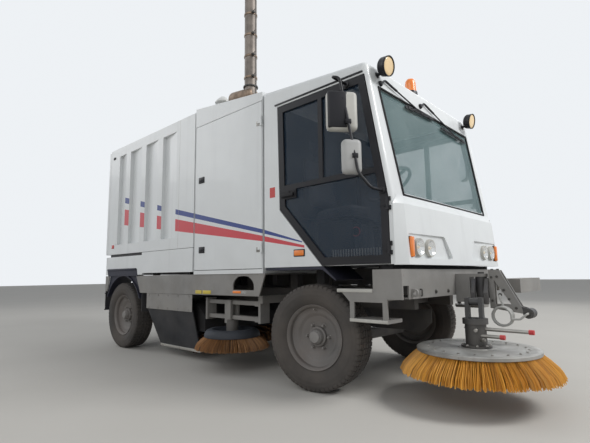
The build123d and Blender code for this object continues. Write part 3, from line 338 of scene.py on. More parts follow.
@dataclass(frozen=True)
class StripedPaint(Finish):
    """White paint with two tapering bands along the sides, in patches on the flutes."""

    stripes: tuple[Stripe, ...] = (
        Stripe((0.010, 0.036, 0.22), -0.953, 0.589, 1.074, (1.730, 1.360, 1.219), (1.669, 1.322, 1.209)),
        Stripe((0.60, 0.038, 0.055), -0.946, 0.588, 1.100, (1.610, 1.300, 1.183), (1.467, 1.249, 1.163)),
    )
    patches: tuple[Pair, ...] = ((-2.25, -2.125), (-1.80, -1.685), (-1.36, -1.255))
    proud_y: float = 0.9985

    def paint(self, graph: Graph) -> bpy.types.NodeSocket:
        """Return white with the bands laid over it.

        Args:
            graph: The material's graph.

        Returns:
            The colour.
        """
        x, y, z = graph.axes().values()
        proud = graph.math("GREATER_THAN", graph.math("ABSOLUTE", y), self.proud_y)
        base: object = self.colour
        for stripe in self.stripes:
            along = graph.within(x, stripe.start_x, stripe.end_x)
            for patch in self.patches:
                along = graph.math("MAXIMUM", along, graph.within(x, *patch))
            below = graph.math("LESS_THAN", z, stripe.edge(graph, x, stripe.upper))
            above = graph.math("GREATER_THAN", z, stripe.edge(graph, x, stripe.lower))
            base = graph.mix(graph.times(below, above, along, proud), base, stripe.colour)
        return base


@dataclass(frozen=True)
class CabPaint(StripedPaint):
    """The striped paint with a dark lining on the cab's inner faces."""

    lining: Triple = (0.050, 0.052, 0.056)
    inside: tuple[Pair, ...] = ((0.630, 1.915), (-0.975, 0.975), (1.020, 2.565))

    def paint(self, graph: Graph) -> bpy.types.NodeSocket:
        """Return the striped paint, or the lining between the inner limits.

        Args:
            graph: The material's graph.

        Returns:
            The colour.
        """
        axes = graph.axes()
        front = graph.math("MULTIPLY_ADD", axes["Z"], -SCREEN_SLOPE, 2.175)
        mask = graph.math("LESS_THAN", axes["X"], graph.math("MINIMUM", front, self.inside[0][1]))
        for value, limits in zip(axes.values(), self.inside):
            mask = graph.times(mask, graph.within(value, *limits))
        return graph.mix(mask, super().paint(graph), self.lining)


@dataclass(frozen=True)
class BristleFinish(Finish):
    """Plastic bristles whose shade follows the number stored on each one."""

    dark: Triple = (0.10, 0.04, 0.01)

    def paint(self, graph: Graph) -> bpy.types.NodeSocket:
        """Return the colour of each bristle."""
        own = graph.node("ShaderNodeAttribute", attribute_name="shade").outputs["Fac"]
        return graph.mix(own, self.dark, self.colour)


@dataclass(frozen=True)
class GlassFinish(Finish):
    """Tinted glass or a clear lens that shows what stands behind it."""

    alpha: float = 1.0

    def build(self) -> bpy.types.Material:
        """Build the glass with a faint film of dust in its roughness.

        Returns:
            The material.
        """
        graph = Graph(self.name)
        film = graph.band(graph.noise(3.0, 6.0), 0.35, 0.8)
        values = {
            "Base Color": graph.mix(graph.times(film, self.dust), self.colour, self.dust_colour),
            "Roughness": graph.math("MULTIPLY_ADD", film, 0.08, self.roughness),
            "Alpha": graph.math("MULTIPLY_ADD", film, 0.12, self.alpha),
        }
        return graph.surface(values, film, 0.0)


WHITE: dict[str, float] = {"mottle": 0.03, "dust": 0.18, "streak": 0.10, "coat": 0.25}

FINISHES: tuple[Finish, ...] = (
    StripedPaint("white_paint", (0.74, 0.76, 0.76), 0.36, **WHITE),
    CabPaint("cab_paint", (0.74, 0.76, 0.76), 0.36, **WHITE),
    Finish("cream_paint", (0.74, 0.74, 0.71), 0.36, mottle=0.04, dust=0.22, streak=0.08, coat=0.2),
    Finish("chassis_black", (0.030, 0.030, 0.034), 0.55, dust=0.42, mottle=0.3, grain=0.2),
    Finish("grey_paint", (0.228, 0.221, 0.210), dust=0.35, mottle=0.12, chips=0.35, streak=0.1, grain=0.12),
    Finish("light_grey", (0.50, 0.49, 0.45), 0.48, dust=0.3, chips=0.3, streak=0.15, grain=0.12),
    # Near-black with a blue tint: the mudguards' black darkened into painted shade; on the plate inside the
    # rear arch it is painted shade alone.
    Finish("dark_edge", (0.014, 0.016, 0.032), dust=0.10, mottle=0.2, specular=0.3),
    Finish("black_trim", (0.008, 0.008, 0.011), 0.40, dust=0.06, mottle=0.2, grain=0.15, specular=0.3),
    Finish("dash_plastic", (0.060, 0.060, 0.066), 0.62, dust=0.05, grain=0.4, grain_scale=900.0),
    Finish(
        "rubber", (0.022, 0.023, 0.027), 0.75, dust_colour=(0.20, 0.19, 0.18), mottle=0.25, grain=0.35,
        grain_scale=160.0, specular=0.35,
    ),
    Finish("gasket", (0.012, 0.012, 0.014), 0.7, dust=0.06, grain=0.2, specular=0.3),
    Finish(
        "tyre_rubber", (0.046, 0.043, 0.041), 0.82, mottle=0.2, dust=0.40, dust_colour=(0.17, 0.14, 0.115),
        grain=0.35, grain_scale=260.0,
    ),
    Finish(
        "rim_paint", (0.150, 0.143, 0.136), 0.55, mottle=0.16, dust=0.55, dust_colour=(0.19, 0.15, 0.125),
        chips=0.4, grain=0.15,
    ),
    Finish("hub_metal", (0.22, 0.21, 0.20), metallic=0.3, dust=0.5, dust_colour=(0.24, 0.21, 0.18)),
    Finish("bolt_steel", (0.34, 0.33, 0.31), 0.42, metallic=0.85, dust=0.3, mottle=0.2),
    Finish("dark_bolt", (0.05, 0.048, 0.045), metallic=0.4, dust=0.3),
    Finish(
        "exhaust_metal", (0.23, 0.17, 0.125), metallic=0.75, mottle=0.4, mottle_scale=9.0, dust=0.2,
        streak=0.4, grain=0.2,
    ),
    Finish(
        "stack_grey", (0.175, 0.150, 0.130), metallic=0.45, mottle=0.35, mottle_scale=7.0, dust=0.1,
        streak=0.5, grain=0.08,
    ),
    Finish("mirror_grey", (0.42, 0.42, 0.41), mottle=0.08, dust=0.2),
    Finish("red_cap", (0.55, 0.03, 0.035), 0.45, dust=0.15),
    Finish("motor_grey", (0.040, 0.041, 0.044), metallic=0.3, mottle=0.25, dust=0.3, chips=0.3, grain=0.2),
    Finish("cast_iron", (0.085, 0.082, 0.078), 0.6, metallic=0.5, mottle=0.3, grain=0.5, grain_scale=180.0),
    Finish(
        "disc_steel", (0.37, 0.37, 0.355), 0.42, metallic=0.45, mottle=0.22, mottle_scale=7.0, dust=0.35,
        chips=0.4, grain=0.12,
    ),
    # The brush dishes' and the roller core's blue-black: partly their own dark colour, partly painted shade
    # under the body.
    Finish(
        "worn_disc", (0.030, 0.035, 0.045), 0.6, mottle=0.25, dust=0.22, dust_colour=(0.12, 0.12, 0.125),
        grain=0.15, specular=0.3,
    ),
    BristleFinish(
        "front_bristle", (0.86, 0.43, 0.055), mottle=0.08, dust=0.10, dust_colour=(0.36, 0.24, 0.12),
        dark=(0.40, 0.17, 0.03),
    ),
    BristleFinish(
        "side_bristle", (0.50, 0.225, 0.065), 0.65, mottle=0.15, dust=0.35, dust_colour=(0.14, 0.11, 0.08),
        dark=(0.075, 0.04, 0.022),
    ),
    GlassFinish("glass", (0.24, 0.38, 0.39), 0.02, dust=0.12, alpha=0.26),
    GlassFinish("door_tint", (0.014, 0.034, 0.062), 0.03, dust=0.08, alpha=0.40),
    GlassFinish("lamp_glass", (0.85, 0.86, 0.84), 0.03, dust=0.10, alpha=0.20),
    Finish("reflector", (0.78, 0.79, 0.80), 0.12, metallic=0.95, mottle=0.05, dust=0.05),
    Finish("warm_lens", (0.80, 0.60, 0.34), 0.15, dust=0.10, glow=0.12),
    Finish("amber_plastic", (0.86, 0.22, 0.02), 0.22, mottle=0.08, dust=0.08, coat=0.5, glow=0.06),
    Finish("red_plastic", (0.50, 0.022, 0.018), 0.25, mottle=0.08, dust=0.15, coat=0.4),
    Finish("yellow_reflector", (0.62, 0.48, 0.06), 0.35, dust=0.2, chips=0.2),
    Finish("hose_grey", (0.42, 0.42, 0.40), 0.55, mottle=0.12, grain=0.2),
    Finish("seat_fabric", (0.085, 0.085, 0.095), 0.9, mottle=0.15, dust=0.05, grain=0.6, grain_scale=1400.0),
    Finish("mirror_face", (0.70, 0.73, 0.75), 0.03, metallic=1.0, mottle=0.0, dust=0.02, grain=0.0),
)


# Mesh making


def frame_at(origin: Sequence[float], out: Sequence[float], up: Sequence[float] = (0, 0, 1)) -> Matrix:
    """Build a placing matrix whose local Z points along out.

    Args:
        origin: The local origin.
        out: The direction of local Z.
        up: A direction that local X leans towards.

    Returns:
        The matrix from local to model coordinates.
    """
    z = Vector(out).normalized()
    x = Vector(up) - z * Vector(up).dot(z)
    if x.length < 1e-6:
        x = Vector((1, 0, 0)) - z * z.x
    x.normalize()
    return Matrix.Translation(origin) @ Matrix((x, z.cross(x), z)).transposed().to_4x4()


class Shape:
    """Collects closed forms in millimetres and turns them into one mesh."""

    def __init__(self) -> None:
        """Start an empty shape."""
        self.bm = bmesh.new()

    def merge(
        self, part: bmesh.types.BMesh, place: Matrix | None = None, bevel: float = 0.0, segments: int = 2
    ) -> Shape:
        """Bevel a part's sharp edges, place it, add it and return this shape.

        Args:
            part: The form to add, which is freed.
            place: The placing matrix.
            bevel: How far sharp edges are rounded.
            segments: Divisions of the rounding.

        Returns:
            This shape.
        """
        if bevel > 0:
            edges = [e for e in part.edges if e.is_manifold and e.calc_face_angle(0.0) > 0.6]
            bmesh.ops.bevel(part, geom=edges, offset=bevel, segments=segments, affect="EDGES", profile=0.5)
        if place is not None:
            part.transform(place)
        bmesh.ops.recalc_face_normals(part, faces=part.faces)
        mesh = bpy.data.meshes.new("part")
        part.to_mesh(mesh)
        part.free()
        self.bm.from_mesh(mesh)
        bpy.data.meshes.remove(mesh)
        return self

    def box(
        self, low: Triple, high: Triple, bevel: float = 0.0, place: Matrix | None = None, segments: int = 2
    ) -> Shape:
        """Add a box between two opposite corners, with rounded edges if bevel is set.

        Args:
            low: One corner.
            high: The opposite corner.
            bevel: How far sharp edges are rounded.
            place: The placing matrix.
            segments: Divisions of the rounding.

        Returns:
            This shape.
        """
        part = bmesh.new()
        bmesh.ops.create_cube(part, size=1.0)
        size = [abs(run) for run in Vector(high) - Vector(low)]
        middle = (Vector(high) + Vector(low)) / 2
        part.transform(Matrix.Translation(middle) @ Matrix.Diagonal((*size, 1.0)))
        return self.merge(part, place, bevel, segments)

    def loft(self, rings: Sequence[Sequence[Sequence[float]]], place: Matrix | None = None) -> Shape:
        """Skin a row of rings with equally many corners and close both ends.

        Args:
            rings: The corners of each ring.
            place: The placing matrix.

        Returns:
            This shape.
        """
        part = bmesh.new()
        rows = [[part.verts.new(corner) for corner in ring] for ring in rings]
        part.faces.new(rows[0])
        part.faces.new(rows[-1][::-1])
        for low, high in zip(rows, rows[1:]):
            for i in range(len(low)):
                part.faces.new((low[i], high[i], high[i - 1], low[i - 1]))
        return self.merge(part, place)

    def prism(self, outline: Sequence[Pair], depth: float, place: Matrix) -> Shape:
        """Extrude a closed outline in local XY along local Z."""
        return self.loft([[(x, y, z) for x, y in outline] for z in (0.0, depth)], place)

    def panel(self, side: int, y: float, outline: Sequence[Pair], depth: float) -> Shape:
        """Add a plate on one side whose outline is X and height, from Y inwards by its depth."""
        place = frame_at((0, side * y, 0), (0, -side, 0), (1, 0, 0))
        return self.prism([(x, side * z) for x, z in outline], depth, place)

    def lathe(
        self, profile: Sequence[Pair], place: Matrix | None = None, steps: int = 48, closed: bool = False
    ) -> Shape:
        """Turn a profile of radius and height about local Z.

        Args:
            profile: Pairs of radius and height; a radius of 0 closes on the axis.
            place: The placing matrix.
            steps: Divisions round the axis.
            closed: Whether the profile's last point joins its first.

        Returns:
            This shape.
        """
        part = bmesh.new()
        turns = [math.tau * i / steps for i in range(steps)]
        rings = []
        for r, height in profile:
            spots = [(r * math.cos(a), r * math.sin(a), height) for a in (turns if r > 0 else (0.0,))]
            rings.append([part.verts.new(spot) for spot in spots])
        pairs = list(zip(rings, rings[1:] + rings[:1]))
        for low, high in pairs if closed else pairs[:-1]:
            for i in range(steps):
                j = (i + 1) % steps
                corners = [low[i % len(low)], low[j % len(low)], high[j % len(high)], high[i % len(high)]]
                unique = list(dict.fromkeys(corners))
                if len(unique) > 2:
                    part.faces.new(unique)
        return self.merge(part, place)

    def rod(self, start: Sequence[float], end: Sequence[float], radius: float, steps: int = 20) -> Shape:
        """Add a round bar.

        Args:
            start: Where the bar starts.
            end: Where it ends.
            radius: Its radius.
            steps: Divisions round it.

        Returns:
            This shape.
        """
        run = Vector(end) - Vector(start)
        profile = [(0, 0), (radius, 0), (radius, run.length), (0, run.length)]
        return self.lathe(profile, frame_at(start, run), steps)

    def hexagon(self, centre: Sequence[float], out: Sequence[float], across: float, height: float) -> Shape:
        """Add a bolt head or nut with a chamfered top.

        Args:
            centre: The middle of its foot.
            out: The direction of its axis.
            across: Its width across flats.
            height: Its height.

        Returns:
            This shape.
        """
        r = across / math.sqrt(3)
        profile = [(0, 0), (r, 0), (r, height * 0.8), (r * 0.84, height), (0, height)]
        return self.lathe(profile, frame_at(centre, out), 6)

    def tube(
        self, points: Sequence[Sequence[float]], radius: float, sides: int = 10, bend: float = 50
    ) -> Shape:
        """Sweep a round bar along a line whose corners are rounded.

        Args:
            points: The line's corners.
            radius: The bar's radius.
            sides: Divisions round the bar.
            bend: How far from a corner its rounding starts.

        Returns:
            This shape.
        """
        path = round_corners([Vector(p) for p in points], bend)
        rings = []
        side = (path[1] - path[0]).orthogonal()
        turns = [math.tau * k / sides for k in range(sides)]
        for i, here in enumerate(path):
            ahead = (path[min(i + 1, len(path) - 1)] - path[max(i - 1, 0)]).normalized()
            side = (side - ahead * side.dot(ahead)).normalized()
            other = ahead.cross(side)
            rings.append([here + (side * math.cos(a) + other * math.sin(a)) * radius for a in turns])
        return self.loft(rings)

    def mirrored(self) -> Shape:
        """Add a copy of everything on the other side of the vehicle.

        Returns:
            This shape.
        """
        copy = self.bm.copy()
        copy.transform(Matrix.Diagonal((1, -1, 1, 1)))
        return self.merge(copy)

    def mesh(self, name: str, smooth: float = SMOOTH_DEGREES) -> bpy.types.Mesh:
        """Turn the shape into a mesh with smooth faces up to an angle in degrees.

        Args:
            name: The mesh's name.
            smooth: The greatest angle that is shaded smooth, in degrees.

        Returns:
            The mesh.
        """
        mesh = bpy.data.meshes.new(name)
        self.bm.to_mesh(mesh)
        self.bm.free()
        return smoothed(mesh, smooth)


def smoothed(mesh: bpy.types.Mesh, smooth: float = SMOOTH_DEGREES) -> bpy.types.Mesh:
    """Shade a mesh smooth up to an angle in degrees and return it.

    Args:
        mesh: The mesh.
        smooth: The greatest angle that is shaded smooth, in degrees.

    Returns:
        The same mesh.
    """
    mesh.polygons.foreach_set("use_smooth", [True] * len(mesh.polygons))
    mesh.set_sharp_from_angle(angle=math.radians(smooth))
    return mesh


def round_corners(points: list[Vector], bend: float, steps: int = 5) -> list[Vector]:
    """Return a line with each corner replaced by a short curve.

    Args:
        points: The line's corners.
        bend: How far from a corner its curve starts.
        steps: Divisions of each curve.

    Returns:
        The finer line.
    """
    path = [points[0]]
    for before, corner, after in zip(points, points[1:], points[2:]):
        reach = min(bend, (before - corner).length * 0.49, (after - corner).length * 0.49)
        start = corner + (before - corner).normalized() * reach
        end = corner + (after - corner).normalized() * reach
        for k in range(steps + 1):
            t = k / steps
            path.append(start * (1 - t) ** 2 + corner * 2 * t * (1 - t) + end * t**2)
    path.append(points[-1])
    return path


class Workshop:
    """Adds finished pieces to the scene and keeps the frame and the palette."""

    def __init__(self) -> None:
        """Load the frame and build the finishes."""
        self.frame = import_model()
        self.cad_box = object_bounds()
        self.palette = {finish.name: finish.build() for finish in FINISHES}
        self.count = 0

    def add(
        self, name: str, shape: Shape | bpy.types.Mesh, finish: str, body: str = "chassis",
        replaces: Sequence[str] = (), smooth: float = SMOOTH_DEGREES, scale: float = MM,
    ) -> bpy.types.Object:
        """Add one piece.

        Args:
            name: The piece's name.
            shape: A shape or a finished mesh.
            finish: The finish's name.
            body: The body it rides on.
            replaces: CAD nodes that it stands for.
            smooth: The greatest angle that is shaded smooth, in degrees.
            scale: Metres in one unit of the mesh.

        Returns:
            The new object.
        """
        mesh = shape.mesh(name, smooth) if isinstance(shape, Shape) else shape
        mesh.transform(Matrix.Scale(scale, 4))
        mesh.materials.clear()
        mesh.materials.append(self.palette[finish])
        piece = bpy.data.objects.new(name, mesh)
        bpy.context.scene.collection.objects.link(piece)
        if replaces:
            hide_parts(*replaces)
        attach(piece, body)
        self.count += 1
        LOG.info("%s: %d faces on %s", name, len(mesh.polygons), body)
        return piece

    def zone(self, node: str, finish: str, low: Triple, high: Triple) -> None:
        """Give the faces of a CAD node between two corners a finish of their own.

        Args:
            node: The CAD node.
            finish: The finish's name.
            low: One corner.
            high: The opposite corner.
        """
        mesh = self.frame["nodes"][node].data
        mesh.materials.append(self.palette[finish])
        for face in mesh.polygons:
            if all(a <= v <= b for a, v, b in zip(low, face.center, high)):
                face.material_index = len(mesh.materials) - 1

    def dress(self, finish: str, *nodes: str) -> None:
        """Give CAD nodes a finish.

        Args:
            finish: The finish's name.
            nodes: The CAD nodes.
        """
        for node in nodes:
            slots = self.frame["nodes"][node].material_slots
            for slot in slots:
                slot.material = self.palette[finish]
            if not slots:
                self.frame["nodes"][node].data.materials.append(self.palette[finish])


class Part:
    """A group of pieces that is added to the scene."""

    def build(self, shop: Workshop) -> None:
        """Add the group's pieces.

        Args:
            shop: Where the pieces are added.
        """
        raise NotImplementedError


# Geometry Nodes


class TreeBuilder(Nodes):
    """A Geometry Nodes tree with named inputs that repeats one unit on points."""

    SOCKETS = {
        int: "NodeSocketInt",
        float: "NodeSocketFloat",
        bpy.types.Object: "NodeSocketObject",
        bpy.types.Material: "NodeSocketMaterial",
    }

    def __init__(self, name: str, unit: Shape, finish: bpy.types.Material) -> None:
        """Start a tree.

        Args:
            name: The tree's name.
            unit: What is repeated, made round its own origin.
            finish: The material to set.
        """
        super().__init__(bpy.data.node_groups.new(name, "GeometryNodeTree"))
        self.tree.interface.new_socket("Geometry", in_out="OUTPUT", socket_type="NodeSocketGeometry")
        self.entry = self.tree.nodes.new("NodeGroupInput")
        self.values: dict[str, object] = {}
        self.unit = bpy.data.objects.new("unit", unit.mesh("unit"))
        self.finish = finish
        self.index = self.out("GeometryNodeInputIndex")

    def input(self, name: str, value: object) -> bpy.types.NodeSocket:
        """Add a named input with the value it is run with.

        Args:
            name: The input's name.
            value: Its value.

        Returns:
            The input as a socket inside the tree.
        """
        kinds = [socket for kind, socket in self.SOCKETS.items() if isinstance(value, kind)]
        item = self.tree.interface.new_socket(name, in_out="INPUT", socket_type=kinds[0])
        self.values[item.identifier] = value
        return self.entry.outputs[name]

    def random(
        self, low: float, high: float, seed: bpy.types.NodeSocket, step: int = 0
    ) -> bpy.types.NodeSocket:
        """Return a random number for each point, fixed by the seed and a step added to it."""
        inputs = {2: low, 3: high, "Seed": self.math("ADD", seed, step) if step else seed}
        return self.node("FunctionNodeRandomValue", inputs, data_type="FLOAT").outputs[1]

    def vector(self, x: object, y: object, z: object) -> bpy.types.NodeSocket:
        """Join three numbers into a vector."""
        return self.out("ShaderNodeCombineXYZ", {0: x, 1: y, 2: z})

    def circle(self, turn: object, radius: object) -> bpy.types.NodeSocket:
        """Return the point at an angle on a circle round local Z."""
        x, y = (self.times(self.math(function, turn), radius) for function in ("COSINE", "SINE"))
        return self.vector(x, y, 0.0)

    def layers(self, count: object) -> bpy.types.NodeSocket:
        """Return how many full groups of count come before each point."""
        return self.math("FLOOR", self.math("DIVIDE", self.math("ADD", self.index, 0.01), count))

    def scatter(
        self, name: str, count: object, spot: object, place: Matrix | None = None, shade: object = None,
        **pose: object,
    ) -> bpy.types.Mesh:
        """Put the unit on points and evaluate the tree on a bare object.

        Args:
            name: The mesh's name.
            count: How many points.
            spot: Each point's place.
            place: A matrix from the tree's local frame to the model's.
            shade: A number to store on each copy.
            pose: The copies' Rotation and Scale.

        Returns:
            The realized mesh in millimetres.
        """
        info = self.node("GeometryNodeObjectInfo", {"Object": self.input("Unit", self.unit)})
        points = self.out("GeometryNodePoints", {"Count": count, "Position": spot})
        inputs = {"Points": points, "Instance": info.outputs["Geometry"], **pose}
        result = self.out("GeometryNodeInstanceOnPoints", inputs)
        if shade is not None:
            inputs = {"Geometry": result, "Name": "shade", "Value": shade}
            kinds = {"data_type": "FLOAT", "domain": "INSTANCE"}
            result = self.out("GeometryNodeStoreNamedAttribute", inputs, **kinds)
        result = self.out("GeometryNodeRealizeInstances", {"Geometry": result})
        inputs = {"Geometry": result, "Material": self.input("Finish", self.finish)}
        self.node("NodeGroupOutput", {0: self.out("GeometryNodeSetMaterial", inputs)})
        host = bpy.data.objects.new(name, bpy.data.meshes.new(name))
        bpy.context.scene.collection.objects.link(host)
        modifier = host.modifiers.new("repeat", "NODES")
        modifier.node_group = self.tree
        for key, value in self.values.items():
            modifier[key] = value
        mesh = evaluated(host, preserve_all_data_layers=True)
        host.modifiers.remove(modifier)
        for done in (host, self.unit):
            bpy.data.objects.remove(done)
        if place is not None:
            mesh.transform(place)
        return smoothed(mesh)


def evaluated(thing: bpy.types.Object, **settings: bool) -> bpy.types.Mesh:
    """Return a new mesh of an object with its modifiers applied."""
    depsgraph = bpy.context.evaluated_depsgraph_get()
    return bpy.data.meshes.new_from_object(thing.evaluated_get(depsgraph), depsgraph=depsgraph, **settings)


def ring_mesh(
    name: str, unit: Shape, finish: bpy.types.Material, count: int, radius: float, place: Matrix,
    start: float = 0.0,
) -> bpy.types.Mesh:
    """Repeat a unit round a circle; its local X points outwards and Z along the axis.

    Args:
        name: The mesh's name.
        unit: The unit, made round its own origin.
        finish: The material to set.
        count: How many copies.
        radius: The circle's radius.
        place: The circle's frame.
        start: The first copy's angle in radians.

    Returns:
        The realized mesh.
    """
    tree = TreeBuilder("ring of " + name, unit, finish)
    amount, reach = tree.input("Count", count), tree.input("Radius", float(radius))
    share = tree.math("DIVIDE", tree.times(tree.index, math.tau), amount)
    turn = tree.math("ADD", share, tree.input("Start Angle", start))
    return tree.scatter(name, amount, tree.circle(turn, reach), place, Rotation=tree.vector(0.0, 0.0, turn))


def row_mesh(
    name: str, unit: Shape, finish: bpy.types.Material, counts: tuple[int, int], steps: tuple[Triple, Triple]
) -> bpy.types.Mesh:
    """Repeat a unit along two straight directions.

    Args:
        name: The mesh's name.
        unit: The unit at the first place.
        finish: The material to set.
        counts: Copies along each direction.
        steps: The two steps between copies.

    Returns:
        The realized mesh.
    """
    tree = TreeBuilder("rows of " + name, unit, finish)
    first, second = tree.input("Count A", counts[0]), tree.input("Count B", counts[1])
    ranks = {"A": tree.math("FLOORED_MODULO", tree.index, first), "B": tree.layers(first)}
    spot = []
    for axis in range(3):
        moves = [
            tree.times(rank, tree.input(f"Step {key} {axis}", float(step[axis])))
            for (key, rank), step in zip(ranks.items(), steps)
        ]
        spot.append(tree.math("ADD", *moves))
    return tree.scatter(name, tree.times(first, second), tree.vector(*spot))


@dataclass(frozen=True)
class BristleRing:
    """A ring of splayed bristles hanging from a disc; local Z is up, the disc's face at 0."""

    inner: float
    outer: float
    tip: float
    drop: float
    count: int
    thickness: float = 5.0
    seed: int = 3

    def unit(self) -> Shape:
        """Make one bristle bundle one metre long, which widens towards its tip.

        Returns:
            The bundle.
        """
        rings = []
        for share, width, bow in ((0.0, 0.7, 0.0), (0.4, 1.0, 12.0), (0.75, 1.25, 16.0), (1.0, 1.35, 0.0)):
            half = self.thickness / 2 * width
            turns = (0.0, 2.1, 4.2)
            rings.append([(math.cos(a) * half + bow, math.sin(a) * half, -share / MM) for a in turns])
        return Shape().loft(rings)

    def mesh(self, name: str, finish: bpy.types.Material, place: Matrix) -> bpy.types.Mesh:
        """Grow the bristles.

        Args:
            name: The mesh's name.
            finish: The bristles' material.
            place: The disc's frame.

        Returns:
            The realized mesh, with each bristle's shade stored on it.
        """
        tree = TreeBuilder("bristles of " + name, self.unit(), finish)
        amount, seed = tree.input("Count", self.count), tree.input("Seed", self.seed)
        inner, outer = tree.input("Inner Radius", self.inner), tree.input("Outer Radius", self.outer)
        drop, spread = tree.input("Drop", self.drop), tree.input("Tip Radius", self.tip)
        spaced = tree.math("ADD", tree.index, tree.random(-0.6, 0.6, seed))
        turn = tree.math("DIVIDE", tree.times(spaced, math.tau), amount)
        rank = tree.random(0.0, 1.0, seed, 1)
        reach = tree.math("MULTIPLY_ADD", rank, tree.math("SUBTRACT", outer, inner), inner)
        low_end = tree.math("MULTIPLY_ADD", outer, 0.82, -20.0)
        share = tree.math("POWER", rank, 0.75)
        tip_reach = tree.math("MULTIPLY_ADD", share, tree.math("SUBTRACT", spread, low_end), low_end)
        out_run = tree.times(tree.math("SUBTRACT", tip_reach, reach), tree.random(0.86, 1.0, seed, 2))
        fall = tree.times(drop, tree.random(0.93, 1.0, seed, 3))
        lean = tree.times(tree.math("ARCTAN2", out_run, fall), -1.0)
        square = tree.math("ADD", tree.times(out_run, out_run), tree.times(fall, fall))
        length = tree.times(tree.math("SQRT", square), MM)
        turned = tree.vector(tree.random(-0.09, 0.09, seed, 4), lean, turn)
        shade = tree.math("POWER", tree.random(0.0, 1.0, seed, 5), 0.6)
        spot = tree.circle(turn, reach)
        size = tree.vector(1.0, 1.0, length)
        return tree.scatter(name, amount, spot, place, shade, Rotation=turned, Scale=size)


# Running gear


@dataclass(frozen=True)
class Wheel(Part):
    """A road tyre on a dished six-stud steel wheel; local Z points outwards."""

    name: str
    centre: Triple
    outward: Triple
    body: str
    radius: float = 430.0
    half_width: float = 125.0
    half_tread: float = 107.0
    rim: float = 262.0
    barrel: float = 251.0
    pitches: int = 60
    stud_circle: float = 102.5

    @property
    def pitch(self) -> float:
        """Return the tread's pitch on the circumference."""
        return math.tau * self.radius / self.pitches

    def tyre_profile(self) -> list[Pair]:
        """Return the carcass as pairs of radius and height across the tyre.

        Returns:
            The closed profile.
        """
        rim, wide, crown = self.rim, self.half_width, self.radius - 8
        half = [
            (self.barrel, 0), (self.barrel, 94), (rim + 6, 96), (rim + 10, 101), (rim + 20, 106),
            (rim + 24, 110), (rim + 50, 121.5), (345, wide), (350, wide + 1.2), (355, wide), (378, 122.5),
            (382, 123.2), (386, 122.2), (400, 118.5), (409, 114.5), (crown - 3, self.half_tread - 3),
            (crown, 60), (crown, 0),
        ]
        return half[1:] + [(r, -z) for r, z in reversed(half)][1:-1]

    def tread_unit(self) -> Shape:
        """Make one pitch of tread blocks at the top of the tyre.

        Returns:
            The blocks.
        """
        shape = Shape()
        base = self.radius - 14
        # Columns: low z, high z, length share, skew
        for low, high, share, skew in (
            (-107, -70, 0.80, 0.10), (-62, -26, 0.90, -0.12), (-18, 18, 0.90, 0.12), (26, 62, 0.90, -0.12),
            (70, 107, 0.80, 0.10),
        ):
            half = self.pitch * share / 2
            lean = skew * (high - low)
            rings = []
            for z, shift in ((low, -lean), (high, lean)):
                top = self.radius - 5 * (abs(z) / 107) ** 2 - 0.2
                corners = ((base, -half), (top, 1.2 - half), (top, half - 1.2), (base, half))
                rings.append([(x, y + shift, z) for x, y in corners])
            shape.loft(rings)
        return shape

    def shoulder_unit(self, sign: int) -> Shape:
        """Make one shoulder block that wraps over the tyre's edge.

        Args:
            sign: 1 for the outer shoulder and -1 for the inner one.

        Returns:
            The block.
        """
        half = self.pitch * 0.36
        profile = ((421.5, 107), (416.5, 115.5), (404, 120.5), (396, 120.5), (398, 108), (414, 100))
        return Shape().loft([[(r, y, sign * z) for r, z in profile] for y in (-half, half)])

    def rim_shape(self, place: Matrix) -> Shape:
        """Make the rim, the deep-dished disc, its hub and its studs.

        Args:
            place: The wheel's frame.

        Returns:
            The rim.
        """
        r, rim, edge = self.barrel - 0.4, self.rim, 104
        profile = [
            (39.5, -48), (39.5, -10), (0, -10), (0, 84), (40, 84), (52, 80), (60, 70), (64, 52), (66, 46),
            (78, 44), (81, 40), (81, 16), (84, 12.5), (128, 12.5), (132, 15), (160, 16), (170, 20), (182, 32),
            (196, 40), (214, 43), (r - 20, 46), (r - 12, 52), (r - 10, 70), (r - 9, edge - 22),
            (r - 2, edge - 12), (r + 6, edge - 6), (rim - 2, edge - 1), (rim, edge), (rim + 1.5, edge - 2),
            (rim, edge - 9.5), (r + 4, edge - 10), (r, edge - 14), (r, 14 - edge), (rim, 9.5 - edge),
            (rim, -edge), (r - 12, 12 - edge), (r - 14, -6), (196, 12), (170, -4), (100, -4), (98, -48),
        ]
        return Shape().lathe(profile, place, 96, closed=True)

    def build(self, shop: Workshop) -> None:
        """Add the tyre, the rim and the nuts.

        Args:
            shop: Where the pieces are added.
        """
        name, body = self.name, self.body
        place = frame_at(self.centre, self.outward)
        tyre = Shape().lathe(self.tyre_profile(), place, 96, closed=True)
        rubber = shop.palette["tyre_rubber"]
        for unit in (self.tread_unit(), self.shoulder_unit(1), self.shoulder_unit(-1)):
            tyre.bm.from_mesh(ring_mesh("tread_" + name, unit, rubber, self.pitches, 0, place))
        shop.add(f"tyre_{name}_road", tyre, "tyre_rubber", body, [f"tyre_{name}"])
        shop.add(f"rim_{name}_disc", self.rim_shape(place), "rim_paint", body, [f"rim_{name}"])
        profile = [(0, 0), (17, 0), (17.5, 3), (14.2, 4), (14.2, 19), (12, 22), (9, 22), (8.5, 34), (0, 35)]
        nut, seat = Shape().lathe(profile, None, 6), place @ Matrix.Translation((0, 0, 12))
        metal = shop.palette["hub_metal"]
        nuts = ring_mesh(f"nuts_{name}", nut, metal, 6, self.stud_circle, seat, math.radians(30))
        shop.add(f"wheel_nuts_{name}", nuts, "hub_metal", body)
        cap = Shape().lathe([(0, 80), (46, 80), (48, 83), (48, 88), (44, 93), (20, 95), (0, 95)], place, 40)
        shop.add(f"hub_cap_{name}", cap, "hub_metal", body)
        route = [place @ Vector(p) for p in ((205, 0, 40), (222, 0, 75), (226, 0, 95))]
        shop.add(f"valve_{name}", Shape().tube(route, 3.5, 8, 10), "bolt_steel", body)


